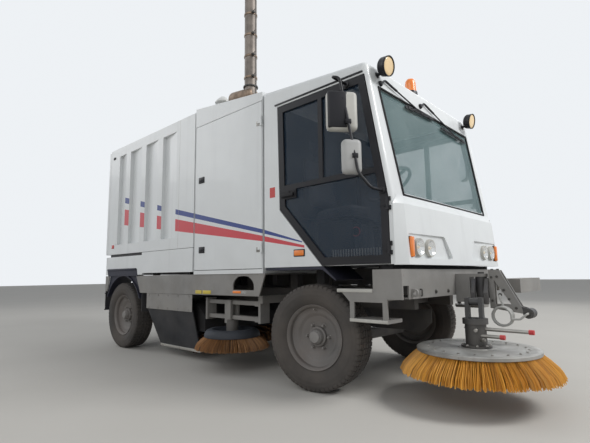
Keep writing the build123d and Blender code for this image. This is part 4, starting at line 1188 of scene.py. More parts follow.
@dataclass(frozen=True)
class RunningGear(Part):
    """The four wheels."""

    axle_x: float = 1120.0
    wheelbase: float = 3360.0
    kingpin_y: float = 745.0
    wheel_y: float = 870.0
    axle_z: float = 430.0
    steer: float = 9.2

    def build(self, shop: Workshop) -> None:
        """Add all four wheels, the front ones turned as they stand.

        Args:
            shop: Where the pieces are added.
        """
        sine, cosine = math.sin(math.radians(self.steer)), math.cos(math.radians(self.steer))
        for side in Side:
            s = side.value
            arm = s * (self.wheel_y - self.kingpin_y)
            front = (self.axle_x - arm * sine, s * self.kingpin_y + arm * cosine, self.axle_z)
            rear = (self.axle_x - self.wheelbase, s * self.wheel_y, self.axle_z)
            for end, centre, out in (("front", front, (-s * sine, s * cosine, 0)), ("rear", rear, (0, s, 0))):
                name = f"{end}_{side.label}"
                Wheel(name, centre, out, "wheel_" + name).build(shop)


# Brushes


@dataclass(frozen=True)
class DiscBrush(Part):
    """A disc brush: a steel disc with a turned rim or a dish, bolts and its bristles."""

    node: str
    centre: Triple
    disc: float
    ring: BristleRing
    disc_finish: str
    bristle_finish: str
    bolts: int
    bolt_circle: float
    dish: float = 0.0

    def build(self, shop: Workshop) -> None:
        """Add the disc, its bolts and its bristles.

        Args:
            shop: Where the pieces are added.
        """
        place = Matrix.Translation(self.centre)
        r, rise, node = self.disc, self.dish, self.node
        flat = [(0, 0), (0.3 * r, 0), (0.305 * r, -3), (0.88 * r, -3), (0.895 * r, -1), (r - 8, -1), (r, -6)]
        raised = [
            (0, 0), (0.6 * r, 0), (0.66 * r, 0.75 * rise), (0.72 * r, rise), (0.82 * r, rise),
            (0.91 * r, 0.8 * rise), (0.97 * r, 0.4 * rise), (r, -4),
        ]
        under = [(r, -26), (r - 6, -30), (r - 20, -30), (r - 100, -20), (0, -20)]
        disc = Shape().lathe((raised if rise else flat) + under, place, 96)
        shop.add(f"{node}_disc", disc, self.disc_finish, node, [node])
        bolt = Shape().lathe([(0, 0), (11, 0), (11, 2), (7.5, 2), (7.5, 6.5), (0, 6.5)], None, 6)
        spot, steel = place @ Matrix.Translation((0, 0, -3.2)), shop.palette["bolt_steel"]
        bolts = ring_mesh(f"{node}_bolts", bolt, steel, self.bolts, self.bolt_circle * r, spot)
        shop.add(f"{node}_bolts", bolts, "bolt_steel", node)
        roots = place @ Matrix.Translation((0, 0, -20))
        bristles = self.ring.mesh(f"{node}_bristles", shop.palette[self.bristle_finish], roots)
        shop.add(f"{node}_bristles", bristles, self.bristle_finish, node, [node])


@dataclass(frozen=True)
class Roller(Part):
    """The cylindrical sweeping brush: a steel core with bristle rows wound round it."""

    centre: Triple = (-1050.0, 0.0, 274.0)
    radius: float = 262.0
    core: float = 110.0
    half_length: float = 650.0
    rows: int = 26
    per_row: int = 110
    twist: float = 1.6

    def build(self, shop: Workshop) -> None:
        """Add the core and the bristles.

        Args:
            shop: Where the pieces are added.
        """
        place = frame_at(self.centre, (0, 1, 0))
        half, core, length = self.half_length, self.core, self.radius - self.core
        ends = [(0, 849), (30, 849), (30, half), (core, half)]
        drum = Shape().lathe([(r, -z) for r, z in ends] + ends[::-1], place, 48)
        shop.add("main_brush_core", drum, "worn_disc", "main_brush", ["main_brush"])
        profile = [(0, 0), (4.5, 0), (6, length * 0.6), (7.5, length - 3), (0, length - 3)]
        bristle = Shape().lathe(profile, frame_at((core, 0, 0), (1, 0, 0)), 4)
        tree = TreeBuilder("roller bristles", bristle, shop.palette["side_bristle"])
        rows, along = tree.input("Rows", self.rows), tree.input("Bristles per Row", self.per_row)
        seed, width = tree.input("Seed", 11), tree.input("Length", 2 * half - 20)
        share = tree.math("DIVIDE", tree.layers(rows), tree.math("SUBTRACT", along, 1))
        row = tree.times(tree.math("FLOORED_MODULO", tree.index, rows), math.tau)
        wound = tree.math("MULTIPLY_ADD", share, self.twist, tree.math("DIVIDE", row, rows))
        turn = tree.math("ADD", wound, tree.random(-0.05, 0.05, seed))
        spot = tree.vector(0.0, 0.0, tree.times(tree.math("SUBTRACT", share, 0.5), width))
        turned = tree.vector(0.0, tree.random(-0.04, 0.04, seed, 1), turn)
        shade = tree.random(0.0, 1.0, seed, 2)
        name = "main_brush_bristles"
        mesh = tree.scatter(name, tree.times(rows, along), spot, place, shade, Rotation=turned)
        shop.add(name, mesh, "side_bristle", "main_brush", ["main_brush"])


class Brushes(Part):
    """The front brush, the two side brushes and the roller."""

    def build(self, shop: Workshop) -> None:
        """Add every brush.

        Args:
            shop: Where the pieces are added.
        """
        ring = BristleRing(300.0, 415.0, 566.0, 168.0, 5200)
        front = DiscBrush("front_brush", (2240, -370, 392), 430, ring, "disc_steel", "front_bristle", 20, 0.8)
        front.build(shop)
        for side in Side:
            s = side.value
            ring = BristleRing(190.0, 270.0, 388.0, 126.0, 3600, 5.2, 7 + s)
            node, centre = f"side_brush_{side.label}", (-80, s * 820, 350)
            DiscBrush(node, centre, 285, ring, "worn_disc", "side_bristle", 8, 0.5, 48).build(shop)
        Roller().build(shop)


# Lamps, wipers and mirrors


def screen_point(y: float, up: float, off: float) -> Triple:
    """Return a point over the windscreen from its width, height and distance off the glass.

    Args:
        y: How far to the left.
        up: How far up the glass.
        off: How far off the glass.

    Returns:
        The point.
    """
    lean = math.atan(SCREEN_SLOPE)
    x = 1941 - up * math.sin(lean) + off * math.cos(lean)
    return (x, y, 1514 + up * math.cos(lean) + off * math.sin(lean))


@dataclass(frozen=True)
class Lamps(Part):
    """Headlamps, indicators, rear clusters, work lamps, beacon and side markers."""

    node: tuple[str, ...] = ("vehicle_lamps",)
    headlamp_y: tuple[float, ...] = (-755, -575, 575, 755)
    headlamp_z: float = 1128
    floor_x: float = 2000.3
    depth: float = 31
    indicator_y: float = 874
    # Columns: finish, inner and outer end across the vehicle
    rear_lenses: tuple[tuple[str, float, float], ...] = (
        ("red_plastic", 748, 844),
        ("amber_plastic", 850, 931),
        ("lamp_glass", 649, 742),
    )
    work_lamp: Triple = (1805, 850, 2565)
    work_tilt: float = 12.0
    beacon: Triple = (1685, -125, 2592.1)

    def build(self, shop: Workshop) -> None:
        """Add every lamp.

        Args:
            shop: Where the pieces are added.
        """
        self.front(shop)
        self.rear(shop)
        self.work(shop)
        self.roof(shop)
        markers, seats = Shape(), Shape()
        for side in Side:
            y = side.value * 1001
            markers.box((985, y - 12, 1098), (1098, y + 12, 1146), 10, segments=3)
            y = side.value * 1000
            seats.box((978, y - 6, 1091), (1105, y + 6, 1153), 4)
        shop.add("side_markers", markers, "amber_plastic")
        shop.add("side_marker_seats", seats, "gasket")

    def front(self, shop: Workshop) -> None:
        """Add the twin headlamps and the front indicators.

        Args:
            shop: Where the pieces are added.
        """
        bezels, bowls, lenses, bulbs = Shape(), Shape(), Shape(), Shape()
        x, d = self.floor_x, self.depth
        bezel = [(59.5, 0), (68, 0), (68, d - 10), (65, d - 5), (59.5, d - 6)]
        bowl = [(0, 0), (60, 0), (60, d - 6), (58.5, d - 7), (47, 14), (28, 6), (12, 3), (0, 3)]
        lens = [(0, d), (30, d - 1), (52, d - 3), (59.6, d - 6), (59.6, d - 8), (30, d - 4), (0, d - 3)]
        for y in self.headlamp_y:
            place = frame_at((x, y, self.headlamp_z), (1, 0, 0))
            bezels.lathe(bezel, place, closed=True)
            bowls.lathe(bowl, place)
            lenses.lathe(lens, place)
            bulbs.lathe([(0, 1), (12, 1), (12, 8), (7, 18), (0, 21)], place, 20)
        shop.add("headlamp_bezels", bezels, "light_grey", replaces=self.node)
        shop.add("headlamp_bowls", bowls, "reflector", replaces=self.node)
        shop.add("headlamp_bulbs", bulbs, "warm_lens")
        shop.add("headlamp_lenses", lenses, "lamp_glass", replaces=self.node)
        trays, ambers = Shape(), Shape()
        for side in Side:
            y = side.value * self.indicator_y
            trays.box((x, y - 23, 1052), (x + 12, y + 23, 1204), 3)
            ambers.box((x + 6, y - 21, 1055), (x + d, y + 21, 1201), 7, segments=3)
        shop.add("indicator_trays", trays, "gasket", replaces=self.node)
        shop.add("front_indicators", ambers, "amber_plastic", replaces=self.node)

    def rear(self, shop: Workshop) -> None:
        """Add the rear clusters of three lenses each.

        Args:
            shop: Where the pieces are added.
        """
        trays = Shape()
        lenses = {name: Shape() for name, _, _ in self.rear_lenses}
        for side in Side:
            s = side.value
            trays.box((-2795, s * 640, 1040), (-2770.5, s * 940, 1150), 5)
            for name, inner, outer in self.rear_lenses:
                lenses[name].box((-2809.5, s * inner, 1048), (-2792, s * outer, 1142), 6, segments=3)
        shop.add("rear_lamp_trays", trays, "black_trim", replaces=self.node)
        for name, shape in lenses.items():
            shop.add(f"rear_lens_{name}", shape, name, replaces=self.node)

    def work(self, shop: Workshop) -> None:
        """Add the two work lamps at the roof's front corners.

        Args:
            shop: Where the pieces are added.
        """
        housings, lenses, posts = Shape(), Shape(), Shape()
        tilt, node = math.radians(self.work_tilt), ["work_lamps"]
        x, half, z = self.work_lamp
        housing = [
            (0, 1), (40, 1), (60, 6), (69.5, 16), (71, 20), (73.5, 22), (78, 66), (79.5, 68), (79.5, 81),
            (73, 81), (70.5, 70), (0, 68),
        ]
        for side in Side:
            y = side.value * half
            place = frame_at((x, y, z), (math.cos(tilt), 0, -math.sin(tilt)))
            housings.lathe(housing, place)
            lenses.lathe([(0, 80), (40, 79), (66, 76), (72.2, 73), (71, 70), (0, 70)], place)
            start, end = (Vector(screen_point(y, 1010, off)) for off in (0.5, 62))
            posts.rod(start, end, 13)
            posts.lathe([(0, 0), (26, 0), (26, 5), (20, 8), (0, 8)], frame_at(start, end - start), 24)
        shop.add("work_lamp_housings", housings, "black_trim", replaces=node)
        shop.add("work_lamp_posts", posts, "black_trim", replaces=node)
        shop.add("work_lamp_lenses", lenses, "warm_lens", replaces=node)

    def roof(self, shop: Workshop) -> None:
        """Add the beacon.

        Args:
            shop: Where the pieces are added.
        """
        place = Matrix.Translation(self.beacon)
        base = Shape().lathe([(0, 0), (61.5, 0), (61.5, 24), (56, 32), (0, 34)], place, 40)
        shop.add("beacon_base", base, "black_trim", replaces=["beacon"])
        profile = [(0, 34), (53.5, 34), (53.5, 40)]
        for k in range(9):
            z = 42 + k * 7.8
            profile += [(52.5 - 0.3 * k, z), (51 - 0.3 * k, z + 3.9)]
        profile += [(49, 116), (47.5, 128), (43, 142), (34, 155), (18, 163), (0, 164.5)]
        dome = Shape().lathe(profile, place)
        shop.add("beacon_dome", dome, "amber_plastic", replaces=["beacon"], smooth=60)


@dataclass(frozen=True)
class Wipers(Part):
    """Two wiper arms and blades parked along the top of the screen."""

    # Columns: pivot, elbow, arm end, blade start and blade end, each as y and height up the screen
    arms: tuple[tuple[Pair, ...], ...] = (
        ((-830, 940), (-765, 985), (-195, 862), (-480, 846), (80, 878)),
        ((-150, 950), (-80, 995), (500, 818), (215, 828), (800, 806)),
    )

    def build(self, shop: Workshop) -> None:
        """Add the arms and the blades.

        Args:
            shop: Where the pieces are added.
        """
        arms, blades = Shape(), Shape()
        normal = Vector(screen_point(0, 0, 1)) - Vector(screen_point(0, 0, 0))
        for pivot, elbow, arm_end, start, end in self.arms:
            seat = frame_at(screen_point(*pivot, 0.5), normal)
            arms.lathe([(0, 0), (23, 0), (23, 12), (17, 20), (0, 22)], seat, 24)
            knee = screen_point(*(0.7 * a + 0.3 * b for a, b in zip(elbow, arm_end)), 17)
            arms.tube([screen_point(*pivot, 14), screen_point(*elbow, 16), knee], 9.5, 10, 20)
            arms.tube([knee, screen_point(*arm_end, 19)], 6.2, 8)
            arms.box((-10, -16, -4), (10, 16, 4), 3, frame_at(screen_point(*arm_end, 17), normal))
            root = Vector(screen_point(*start, 0))
            run = Vector(screen_point(*end, 0)) - root
            place, length = frame_at(root, run, normal), run.length
            blades.box((1.5, -4, 0), (9.5, 4, length), 1, place)
            blades.box((9, -15, 10), (13, 15, length - 10), 1, place)
            for share in (0.16, 0.36, 0.64, 0.84):
                z = length * share
                blades.box((12.5, -17, z - 40), (19.5, 17, z + 40), 2, place)
            blades.box((15, -8, length * 0.16), (19.5, 8, length * 0.84), 1, place)
        shop.add("wiper_arms", arms, "black_trim", replaces=["wipers"])
        shop.add("wiper_blades", blades, "rubber", replaces=["wipers"])


@dataclass(frozen=True)
class Mirrors(Part):
    """A bent tube on each door with a tall and a low mirror head."""

    yaw: float = 40.0
    door_y: float = 1000.5
    out_y: float = 1190.3
    top: Pair = (1650, 2415)
    low: Pair = (1795, 1656)
    # Columns: name, middle z, height, shift towards the door, width, finish of the shell, clamps
    head_rows: tuple[tuple[object, ...], ...] = (
        ("upper", 2143, 307, -25, 235, "light_grey", (-92.1, 92.1)),
        ("lower", 1782, 258, -17, 146, "mirror_grey", (0.0,)),
    )

    def build(self, shop: Workshop) -> None:
        """Add both mirrors.

        Args:
            shop: Where the pieces are added.
        """
        for side in Side:
            self.tube(shop, side)
            self.heads(shop, side)

    def on_tube(self, side: Side, z: float) -> Vector:
        """Return the point of the leaning tube at a height.

        Args:
            side: The tube's side.
            z: The height.

        Returns:
            The point.
        """
        (top_x, top_z), (low_x, low_z) = self.top, self.low
        x = top_x + (top_z - z) / (top_z - low_z) * (low_x - top_x)
        return Vector((x, side.value * self.out_y, z))

    def tube(self, shop: Workshop, side: Side) -> None:
        """Add one side's tube with its two feet.

        Args:
            shop: Where the pieces are added.
            side: The side to build.
        """
        s, door, out = side.value, self.door_y, self.out_y
        (tx, tz), (lx, lz) = self.top, self.low
        line = [
            (tx - 75, door, tz + 33), (tx - 75, out, tz + 33), (tx, out, tz), (lx, out, lz),
            (lx + 74, out - 40, lz - 116), (lx + 74, door, lz - 116),
        ]
        route = [(x, s * y, z) for x, y, z in line]
        tube = Shape().tube(route, 10.8, 14, 35)
        for foot in (route[0], route[-1]):
            tube.lathe([(0, 0), (26, 0), (26, 6), (18, 10), (0, 10)], frame_at(foot, (0, s, 0)), 24)
        name = f"mirror_tube_{side.label}"
        shop.add(name, tube, "black_trim", f"door_{side.label}", [f"mirror_{side.label}"])

    def heads(self, shop: Workshop, side: Side) -> None:
        """Add one side's heads, glasses and clamps.

        Args:
            shop: Where the pieces are added.
            side: The side to build.
        """
        s, label, body = side.value, side.label, f"door_{side.label}"
        turn = math.radians(self.yaw)
        back = Vector((math.cos(turn), s * math.sin(turn), 0))
        along = Vector((math.sin(turn), -s * math.cos(turn), 0))
        clamps, glasses = Shape(), Shape()
        for name, z, height, shift, width, finish, grips in self.head_rows:
            place = frame_at(self.on_tube(side, z) + along * shift, back)
            h, w = height / 2, width / 2
            shell = Shape().box((-h, -w, -78), (h, w, 4.5), 36, place, 5)
            shop.add(f"mirror_{name}_{label}", shell, finish, body, [f"mirror_{label}"])
            if name == "upper":
                cover = Shape().box((16 - h, s * (6 - w), -52), (h - 6, s * (w - 78), 5.2), 14, place, 3)
                shop.add(f"mirror_cover_{label}", cover, "black_trim", body)
            glasses.box((14 - h, 14 - w, -80.5), (h - 14, w - 14, -76.5), 1, place)
            for rise in grips:
                spot = frame_at(self.on_tube(side, z + rise), back)
                clamps.box((-18, -22, -8), (18, 22, 13.5), 4, spot)
                clamps.hexagon(spot @ Vector((0, 12, 13.5)), back, 12, 6)
        shop.add(f"mirror_clamps_{label}", clamps, "black_trim", body)
        shop.add(f"mirror_glasses_{label}", glasses, "mirror_face", body)


# Roof and body trim


@dataclass(frozen=True)
class Exhaust(Part):
    """The silencer, the stack with its clamp rings and side rod, and the intake's cap."""

    node: tuple[str, ...] = ("exhaust_stack",)
    x: float = 205
    y: float = -820
    top: float = 3920
    radius: float = 66
    drum: Pair = (-100, 262)
    drum_radius: float = 80
    intake_x: float = -270
    intake_z: float = 2803.5

    @staticmethod
    def roof(x: float) -> float:
        """Return the cabinet roof's height at an X."""
        return 2835 - (x + 533) / 1118 * 135

    def axis(self, x: float) -> Vector:
        """Return a point on the silencer's axis, which lies along the roof."""
        return Vector((x, self.y, self.roof(x) + self.drum_radius + 8))

    def build(self, shop: Workshop) -> None:
        """Add the roof's exhaust and intake.

        Args:
            shop: Where the pieces are added.
        """
        self.silencer(shop)
        self.stack(shop)
        cap = [
            (0, -10), (49, -10), (49, 82), (91, 82), (92, 86), (92, 94), (88, 100), (70, 118), (40, 148),
            (24, 158), (0, 160),
        ]
        place = Matrix.Translation((self.intake_x, self.y, self.intake_z))
        shop.add("intake_cap", Shape().lathe(cap, place), "cream_paint", replaces=self.node)

    def silencer(self, shop: Workshop) -> None:
        """Add the drum that lies on the roof and its two feet.

        Args:
            shop: Where the pieces are added.
        """
        start, end = (self.axis(x) for x in self.drum)
        r, length = self.drum_radius - 0.6, (end - start).length
        rounds = [(0, 0), (34, 1), (60, 8), (73, 20), (r, 38)]
        bands = [(r, length * 0.30), (r + 0.6, length * 0.31), (r, length * 0.32)]
        profile = rounds + bands + [(a, length - b) for a, b in reversed(rounds)]
        drum = Shape().lathe(profile, frame_at(start, end - start))
        for x in (self.drum[0] + 54, self.drum[1] - 86):
            low, high = self.roof(x + 32) - 4, self.axis(x - 4).z - 30
            drum.box((x, self.y - 55, low), (x + 32, self.y + 55, high), 2)
        shop.add("silencer", drum, "exhaust_metal", replaces=self.node)

    def stack(self, shop: Workshop) -> None:
        """Add the stack, its rings, their fixings and the flange at its foot.

        Args:
            shop: Where the pieces are added.
        """
        centre = Matrix.Translation((self.x, self.y, 0))
        r, top, low = self.radius, self.top, self.axis(self.x).z
        pipe = [(0, low), (r - 1, low), (r - 1, top - 1), (r - 5, top), (r - 6, top - 200), (0, top - 200)]
        shop.add("stack_pipe", Shape().lathe(pipe, centre, 64), "stack_grey", replaces=self.node)
        rings, fixings = Shape(), Shape()
        out = Vector((0.92, -0.39, 0)).normalized()
        across = Vector((-out.y, out.x, 0))
        ring = [(r - 2, 0), (r + 3, 0), (r + 5, 3), (r + 5, 19), (r + 3, 22), (r - 2, 22)]
        for z in range(3010, 3731, 240):
            rings.lathe(ring, Matrix.Translation((self.x, self.y, z)), 64, closed=True)
            lug = Vector((self.x, self.y, z + 11)) + out * (r + 16)
            fixings.box((-10, -14, -17), (10, 14, 14), 2, frame_at(lug, out))
            fixings.rod(lug - across * 22, lug + across * 22, 4, 10)
            fixings.hexagon(lug + across * 16, across, 14, 7)
            fixings.rod(lug, lug + out * 75, 3, 8)
        end = Vector((self.x, self.y, top - 20)) + out * (r + 91)
        fixings.rod((end.x, end.y, 2753.5), end, 3.5, 8)
        shop.add("stack_rings", rings, "exhaust_metal", replaces=self.node)
        shop.add("stack_fixings", fixings, "dark_bolt")
        profile = [(-2, 2915), (12, 2915), (13, 2918), (13, 2928), (11, 2931), (-2, 2931)]
        flange = Shape().lathe([(r + step, z) for step, z in profile], centre, 64, closed=True)
        shop.add("stack_flange", flange, "dark_bolt")


@dataclass(frozen=True)
class SideTrim(Part):
    """Locks, hinges, rails, handles, reflectors and panels of both sides."""

    # Outlines are X and height; Y counts outwards
    skirt_corner: tuple[Pair, ...] = (
        (137.5, 820), (140, 852), (155, 882), (180, 906), (213, 921.5), (137.5, 921.5),
    )
    skirt_middle_x: float = 294
    skirt_ends: tuple[tuple[Pair, ...], ...] = (
        ((-1700, 735), (-1748, 735), (-1868, 952), (-1700, 952)),
        ((-2735, 735), (-2795, 745), (-2795, 952), (-2665, 952)),
    )
    # Columns: name, finish, low z, high z, bevel, start and end of each
    skirt_marks: tuple[tuple[str, str, float, float, float, tuple[Pair, ...]], ...] = (
        ("ambers", "amber_plastic", 766, 790, 3, ((141, 262),)),
        ("whites", "lamp_glass", 766, 790, 3, ((266, 343),)),
        ("yellows", "yellow_reflector", 750, 787, 2, ((-500, -388), (-366, -223))),
    )
    # Columns: name, finish, low corner, high corner, bevel
    hopper_plates: tuple[tuple[str, str, Triple, Triple, float], ...] = (
        ("vent", "gasket", (-2665, 999, 2655), (-2600, 1006, 2690), 4),
        ("reflector", "red_plastic", (-2615, 999, 1340), (-2545, 1006, 1392), 4),
        ("seam", "light_grey", (-867.5, 999.2, 1262), (-865.5, 1001, 2795), 0),
    )
    arch_top: tuple[Pair, ...] = (
        (-2690, 950), (-2722, 1035), (-2700, 1052), (-1860, 1052), (-1835, 1035), (-1812, 950),
    )
    arch_ends: tuple[Pair, ...] = ((-2738, 737), (-2668, 964), (-1866, 964), (-1750, 737))
    arch_centre: Pair = (-2240, 430)
    arch_radius: float = 534

    def build(self, shop: Workshop) -> None:
        """Add the trim of both sides.

        Args:
            shop: Where the pieces are added.
        """
        for side in Side:
            self.cabinet_door(shop, side)
            self.cab_side(shop, side)
            s, label = side.value, side.label
            for name, finish, low, high, bevel in self.hopper_plates:
                corners = ((x, s * y, z) for x, y, z in (low, high))
                shop.add(f"hopper_{name}_{label}", Shape().box(*corners, bevel), finish, "hopper")
            self.skirt(shop, side)
            self.rear_arch(shop, side)

    def cabinet_door(self, shop: Workshop, side: Side) -> None:
        """Add the cabinet door's flush locks and its hinge leaves.

        Args:
            shop: Where the pieces are added.
            side: The side to build.
        """
        s, body = side.value, f"cabinet_door_{side.label}"
        locks, leaves = Shape(), Shape()
        for x, z in ((-405, 1985), (-385, 1215)):
            locks.box((x - 52, s * 999, z - 34), (x + 52, s * 1006, z + 34), 3)
            locks.box((x - 40, s * 1004, z - 12), (x + 22, s * 1012, z + 12), 4)
            locks.lathe([(0, 0), (10, 0), (10, 4), (0, 5)], frame_at((x + 36, s * 1006, z), (0, s, 0)), 16)
        shop.add(f"cabinet_locks_{side.label}", locks, "black_trim", body)
        for z in (1176, 2396):
            leaves.box((500, s * 1000.3, z - 24), (562, s * 1005.5, z + 24), 2)
            for x in (513, 540):
                leaves.hexagon((x, s * 1005.5, z), (0, s, 0), 14, 4)
        shop.add(f"cabinet_hinges_{side.label}", leaves, "bolt_steel", body)

    def cab_side(self, shop: Workshop, side: Side) -> None:
        """Add the drip rail over the door, the door's handle and the red notice.

        Args:
            shop: Where the pieces are added.
            side: The side to build.
        """
        s, label = side.value, side.label
        rail = Shape().box((757, s * 999, 2497), (1735, s * 1009, 2512), 3)
        shop.add(f"drip_rail_{label}", rail, "black_trim")
        handle = Shape().box((832, s * 999.5, 1612), (1000, s * 1003, 1676), 2)
        handle.box((852, s * 1019.5, 1624), (988, s * 1022.5, 1650), 1)
        lock = [(0, 0), (11, 0), (11, 4), (4, 5), (0, 4)]
        handle.lathe(lock, frame_at((930, s * 1003, 1664), (0, s, 0)), 20)
        shop.add(f"door_handle_{label}", handle, "gasket", f"door_{label}")
        patch = Shape().box((682, s * 999.5, 1640), (752, s * 1000.4, 1735))
        shop.add(f"notice_patch_{label}", patch, "red_plastic")

    def skirt(self, shop: Workshop, side: Side) -> None:
        """Add the skirt opening's round corners, the skirt's ends at the wheel and the side markers.

        Args:
            shop: Where the pieces are added.
            side: The side to build.
        """
        s, fill = side.value, Shape()
        other = [(2 * self.skirt_middle_x - x, z) for x, z in self.skirt_corner]
        for outline in (self.skirt_corner, other, *self.skirt_ends):
            fill.panel(s, 990, outline, 12)
        shop.add(f"skirt_corners_{side.label}", fill, "grey_paint")
        for name, finish, low, high, bevel, spans in self.skirt_marks:
            marks = Shape()
            for start, end in spans:
                marks.box((start, s * 989.5, low), (end, s * 996, high), bevel)
            shop.add(f"skirt_{name}_{side.label}", marks, finish)

    def rear_arch(self, shop: Workshop, side: Side) -> None:
        """Add the black flange over the rear wheel and, round the tyre inside the arch, a dark plate that is
        painted shade.

        Args:
            shop: Where the pieces are added.
            side: The side to build.
        """
        s, r, (x, z) = side.value, self.arch_radius, self.arch_centre
        flange = Shape().panel(s, 1002.2, self.arch_top, 2)
        flange.box((-2712, s * 1000, 1026), (-1848, s * 1013, 1050), 6)
        # The plate from the arc down to the arch's ends fills the wheel arch round the tyre with painted
        # shade.
        turns = [math.radians(a) for a in range(35, 146, 10)]
        arc = [(x + r * math.cos(a), z + r * math.sin(a)) for a in turns]
        flange.panel(s, 974, [*arc, *self.arch_ends], 6)
        shop.add(f"arch_flange_{side.label}", flange, "dark_edge")


@dataclass(frozen=True)
class BodyTrim(Part):
    """Latches, seals, bolts, the front arm's fittings, flaps and treads."""

    latch_y: float = 860
    # Width and height up the screen
    screen_corners: tuple[Pair, ...] = ((-822, 6), (822, 6), (872, 895), (-872, 895))
    seal_radius: float = 9
    coil_centre: Pair = (2362, 602)
    coil_radius: float = 72
    coil_pitch: float = 4.2
    pipe_radius: float = 8.5
    # X and height
    arm_bolts: tuple[Pair, ...] = (
        (2279, 900), (2279, 716), (2366, 800), (2402, 730), (2323, 674), (2449, 664), (2322, 905),
    )
    motor_ring: float = 26
    column_centre: Pair = (2240, -370)
    column_radius: float = 74
    flange_ring: float = 93
    # Y and height
    beam_bolts: tuple[Pair, ...] = ((-481, 797), (-257, 795), (123, 792), (135, 866), (481, 797))
    beam_x: float = 1996.2
    # Run across and down
    flap_lean: Pair = (134, -463)
    flap_thickness: float = 12

    def build(self, shop: Workshop) -> None:
        """Add the trim of the back, the front and the underside.

        Args:
            shop: Where the pieces are added.
        """
        self.back(shop)
        self.screen(shop)
        self.pipe(shop)
        self.column(shop)
        self.arm(shop)
        self.beam(shop)
        self.flaps(shop)
        self.under_cab(shop)

    def back(self, shop: Workshop) -> None:
        """Add the tailgate's latches and bolts.

        Args:
            shop: Where the pieces are added.
        """
        latches = Shape()
        for y in (-self.latch_y, self.latch_y):
            latches.box((-2806, y - 30, 1300), (-2795, y + 30, 1420), 3)
            latches.rod((-2803, y, 1335), (-2803, y, 1415), 6, 12)
        shop.add("tailgate_latches", latches, "dark_bolt", "tailgate")
        profile = [(0, 0), (11, 0), (11, 1.5), (6.5, 2), (6.5, 6), (0, 6)]
        unit = Shape().lathe(profile, frame_at((-2795.5, -930, 1300), (-1, 0, 0)), 6)
        name, steps = "tailgate_bolts", ((0, 1860, 0), (0, 0, 225))
        bolts = row_mesh(name, unit, shop.palette["bolt_steel"], (2, 7), steps)
        shop.add(name, bolts, "bolt_steel", "tailgate")

    def screen(self, shop: Workshop) -> None:
        """Add the windscreen's seal.

        Args:
            shop: Where the pieces are added.
        """
        seal, r = Shape(), self.seal_radius
        points = [screen_point(*corner, 3) for corner in self.screen_corners]
        for start, end in zip(points, points[1:] + points[:1]):
            seal.rod(start, end, r, 10)
        for point in points:
            ball = [(0, -r), (6.4, -6.4), (r, 0), (6.4, 6.4), (0, r)]
            seal.lathe(ball, Matrix.Translation(point), 12)
        shop.add("screen_seal", seal, "gasket")

    def pipe(self, shop: Workshop) -> None:
        """Add the arm's stiff bent pipe.

        Args:
            shop: Where the pieces are added.
        """
        (x, z), r = self.coil_centre, self.coil_radius
        line = [(2340, -90.5, 762), (2340, -100, 745)]
        for turn in (math.tau * k / 14 for k in range(33)):
            line.append((x + r * math.sin(turn), -98 - self.coil_pitch * turn, z + r * math.cos(turn)))
        line += [(2490, -146, 588), (2533, -135, 626), (2535, -108, 628)]
        shop.add("arm_pipe", Shape().tube(line, self.pipe_radius, 10, 6), "hose_grey", "front_swing")

    def arm(self, shop: Workshop) -> None:
        """Add the arm's bolts.

        Args:
            shop: Where the pieces are added.
        """
        bolts, r = Shape(), self.motor_ring
        for x, z in self.arm_bolts:
            for y, out in ((-80, -1), (-20, 1)):
                bolts.hexagon((x, y, z), (0, out, 0), 18, 8)
        for x in (2278, 2322):
            bolts.hexagon((x, -50, 957), (0, 0, 1), 20, 10)
        for k in range(5):
            turn = math.tau * k / 5
            spot = (2535 + r * math.sin(turn), -96.2, 628 + r * math.cos(turn))
            bolts.hexagon(spot, (0, -1, 0), 11, 5)
        bolts.hexagon((2340, -80.5, 764), (0, -1, 0), 24, 14)
        bolts.hexagon((2535, -96.2, 628), (0, -1, 0), 22, 14)
        shop.add("arm_bolts", bolts, "dark_bolt", "front_swing")

    def column(self, shop: Workshop) -> None:
        """Add the flange and the hydraulic fittings of the front brush's motor column.

        Args:
            shop: Where the pieces are added.
        """
        (x, y), r = self.column_centre, self.flange_ring
        profile = [(75.5, 0), (108, 0), (108, 10), (75.5, 16)]
        flange = Shape().lathe(profile, Matrix.Translation((x, y, 394.5)), closed=True)
        shop.add("column_flange", flange, "motor_grey", "front_carrier")
        fittings = Shape()
        for k in range(8):
            turn = math.tau * (k + 0.5) / 8
            fittings.hexagon((x + r * math.cos(turn), y + r * math.sin(turn), 405), (0, 0, 1), 16, 10)
        for degrees, z in ((-70, 520), (-40, 455), (150, 520)):
            turn = math.radians(degrees)
            out = Vector((math.cos(turn), math.sin(turn), 0))
            root = Vector((x, y, z)) + out * self.column_radius
            fittings.rod(root, root + out * 20, 14, 16)
            fittings.hexagon(root + out * 20, out, 24, 12)
            fittings.rod(root + out * 32, root + out * 46, 8, 14)
        shop.add("column_fittings", fittings, "bolt_steel", "front_carrier")

    def beam(self, shop: Workshop) -> None:
        """Add the beam's bolts and its hook, and the filler under the fascia.

        Args:
            shop: Where the pieces are added.
        """
        bolts = Shape()
        for y, z in self.beam_bolts:
            washer = frame_at((self.beam_x, y, z), (1, 0, 0))
            bolts.lathe([(0, 0), (16, 0), (16, 2), (0, 2)], washer, 20)
            bolts.hexagon((self.beam_x + 1.8, y, z), (1, 0, 0), 19, 9)
        hook = ((1996.5, 822), (2012, 822), (2012, 778), (2004, 774))
        bolts.tube([(x, -740, z) for x, z in hook], 5.5, 10, 10)
        shop.add("beam_bolts", bolts, "dark_bolt")
        shop.add("cab_sill_filler", Shape().box((1800, -950, 969.3), (1900, 950, 999.7)), "gasket")

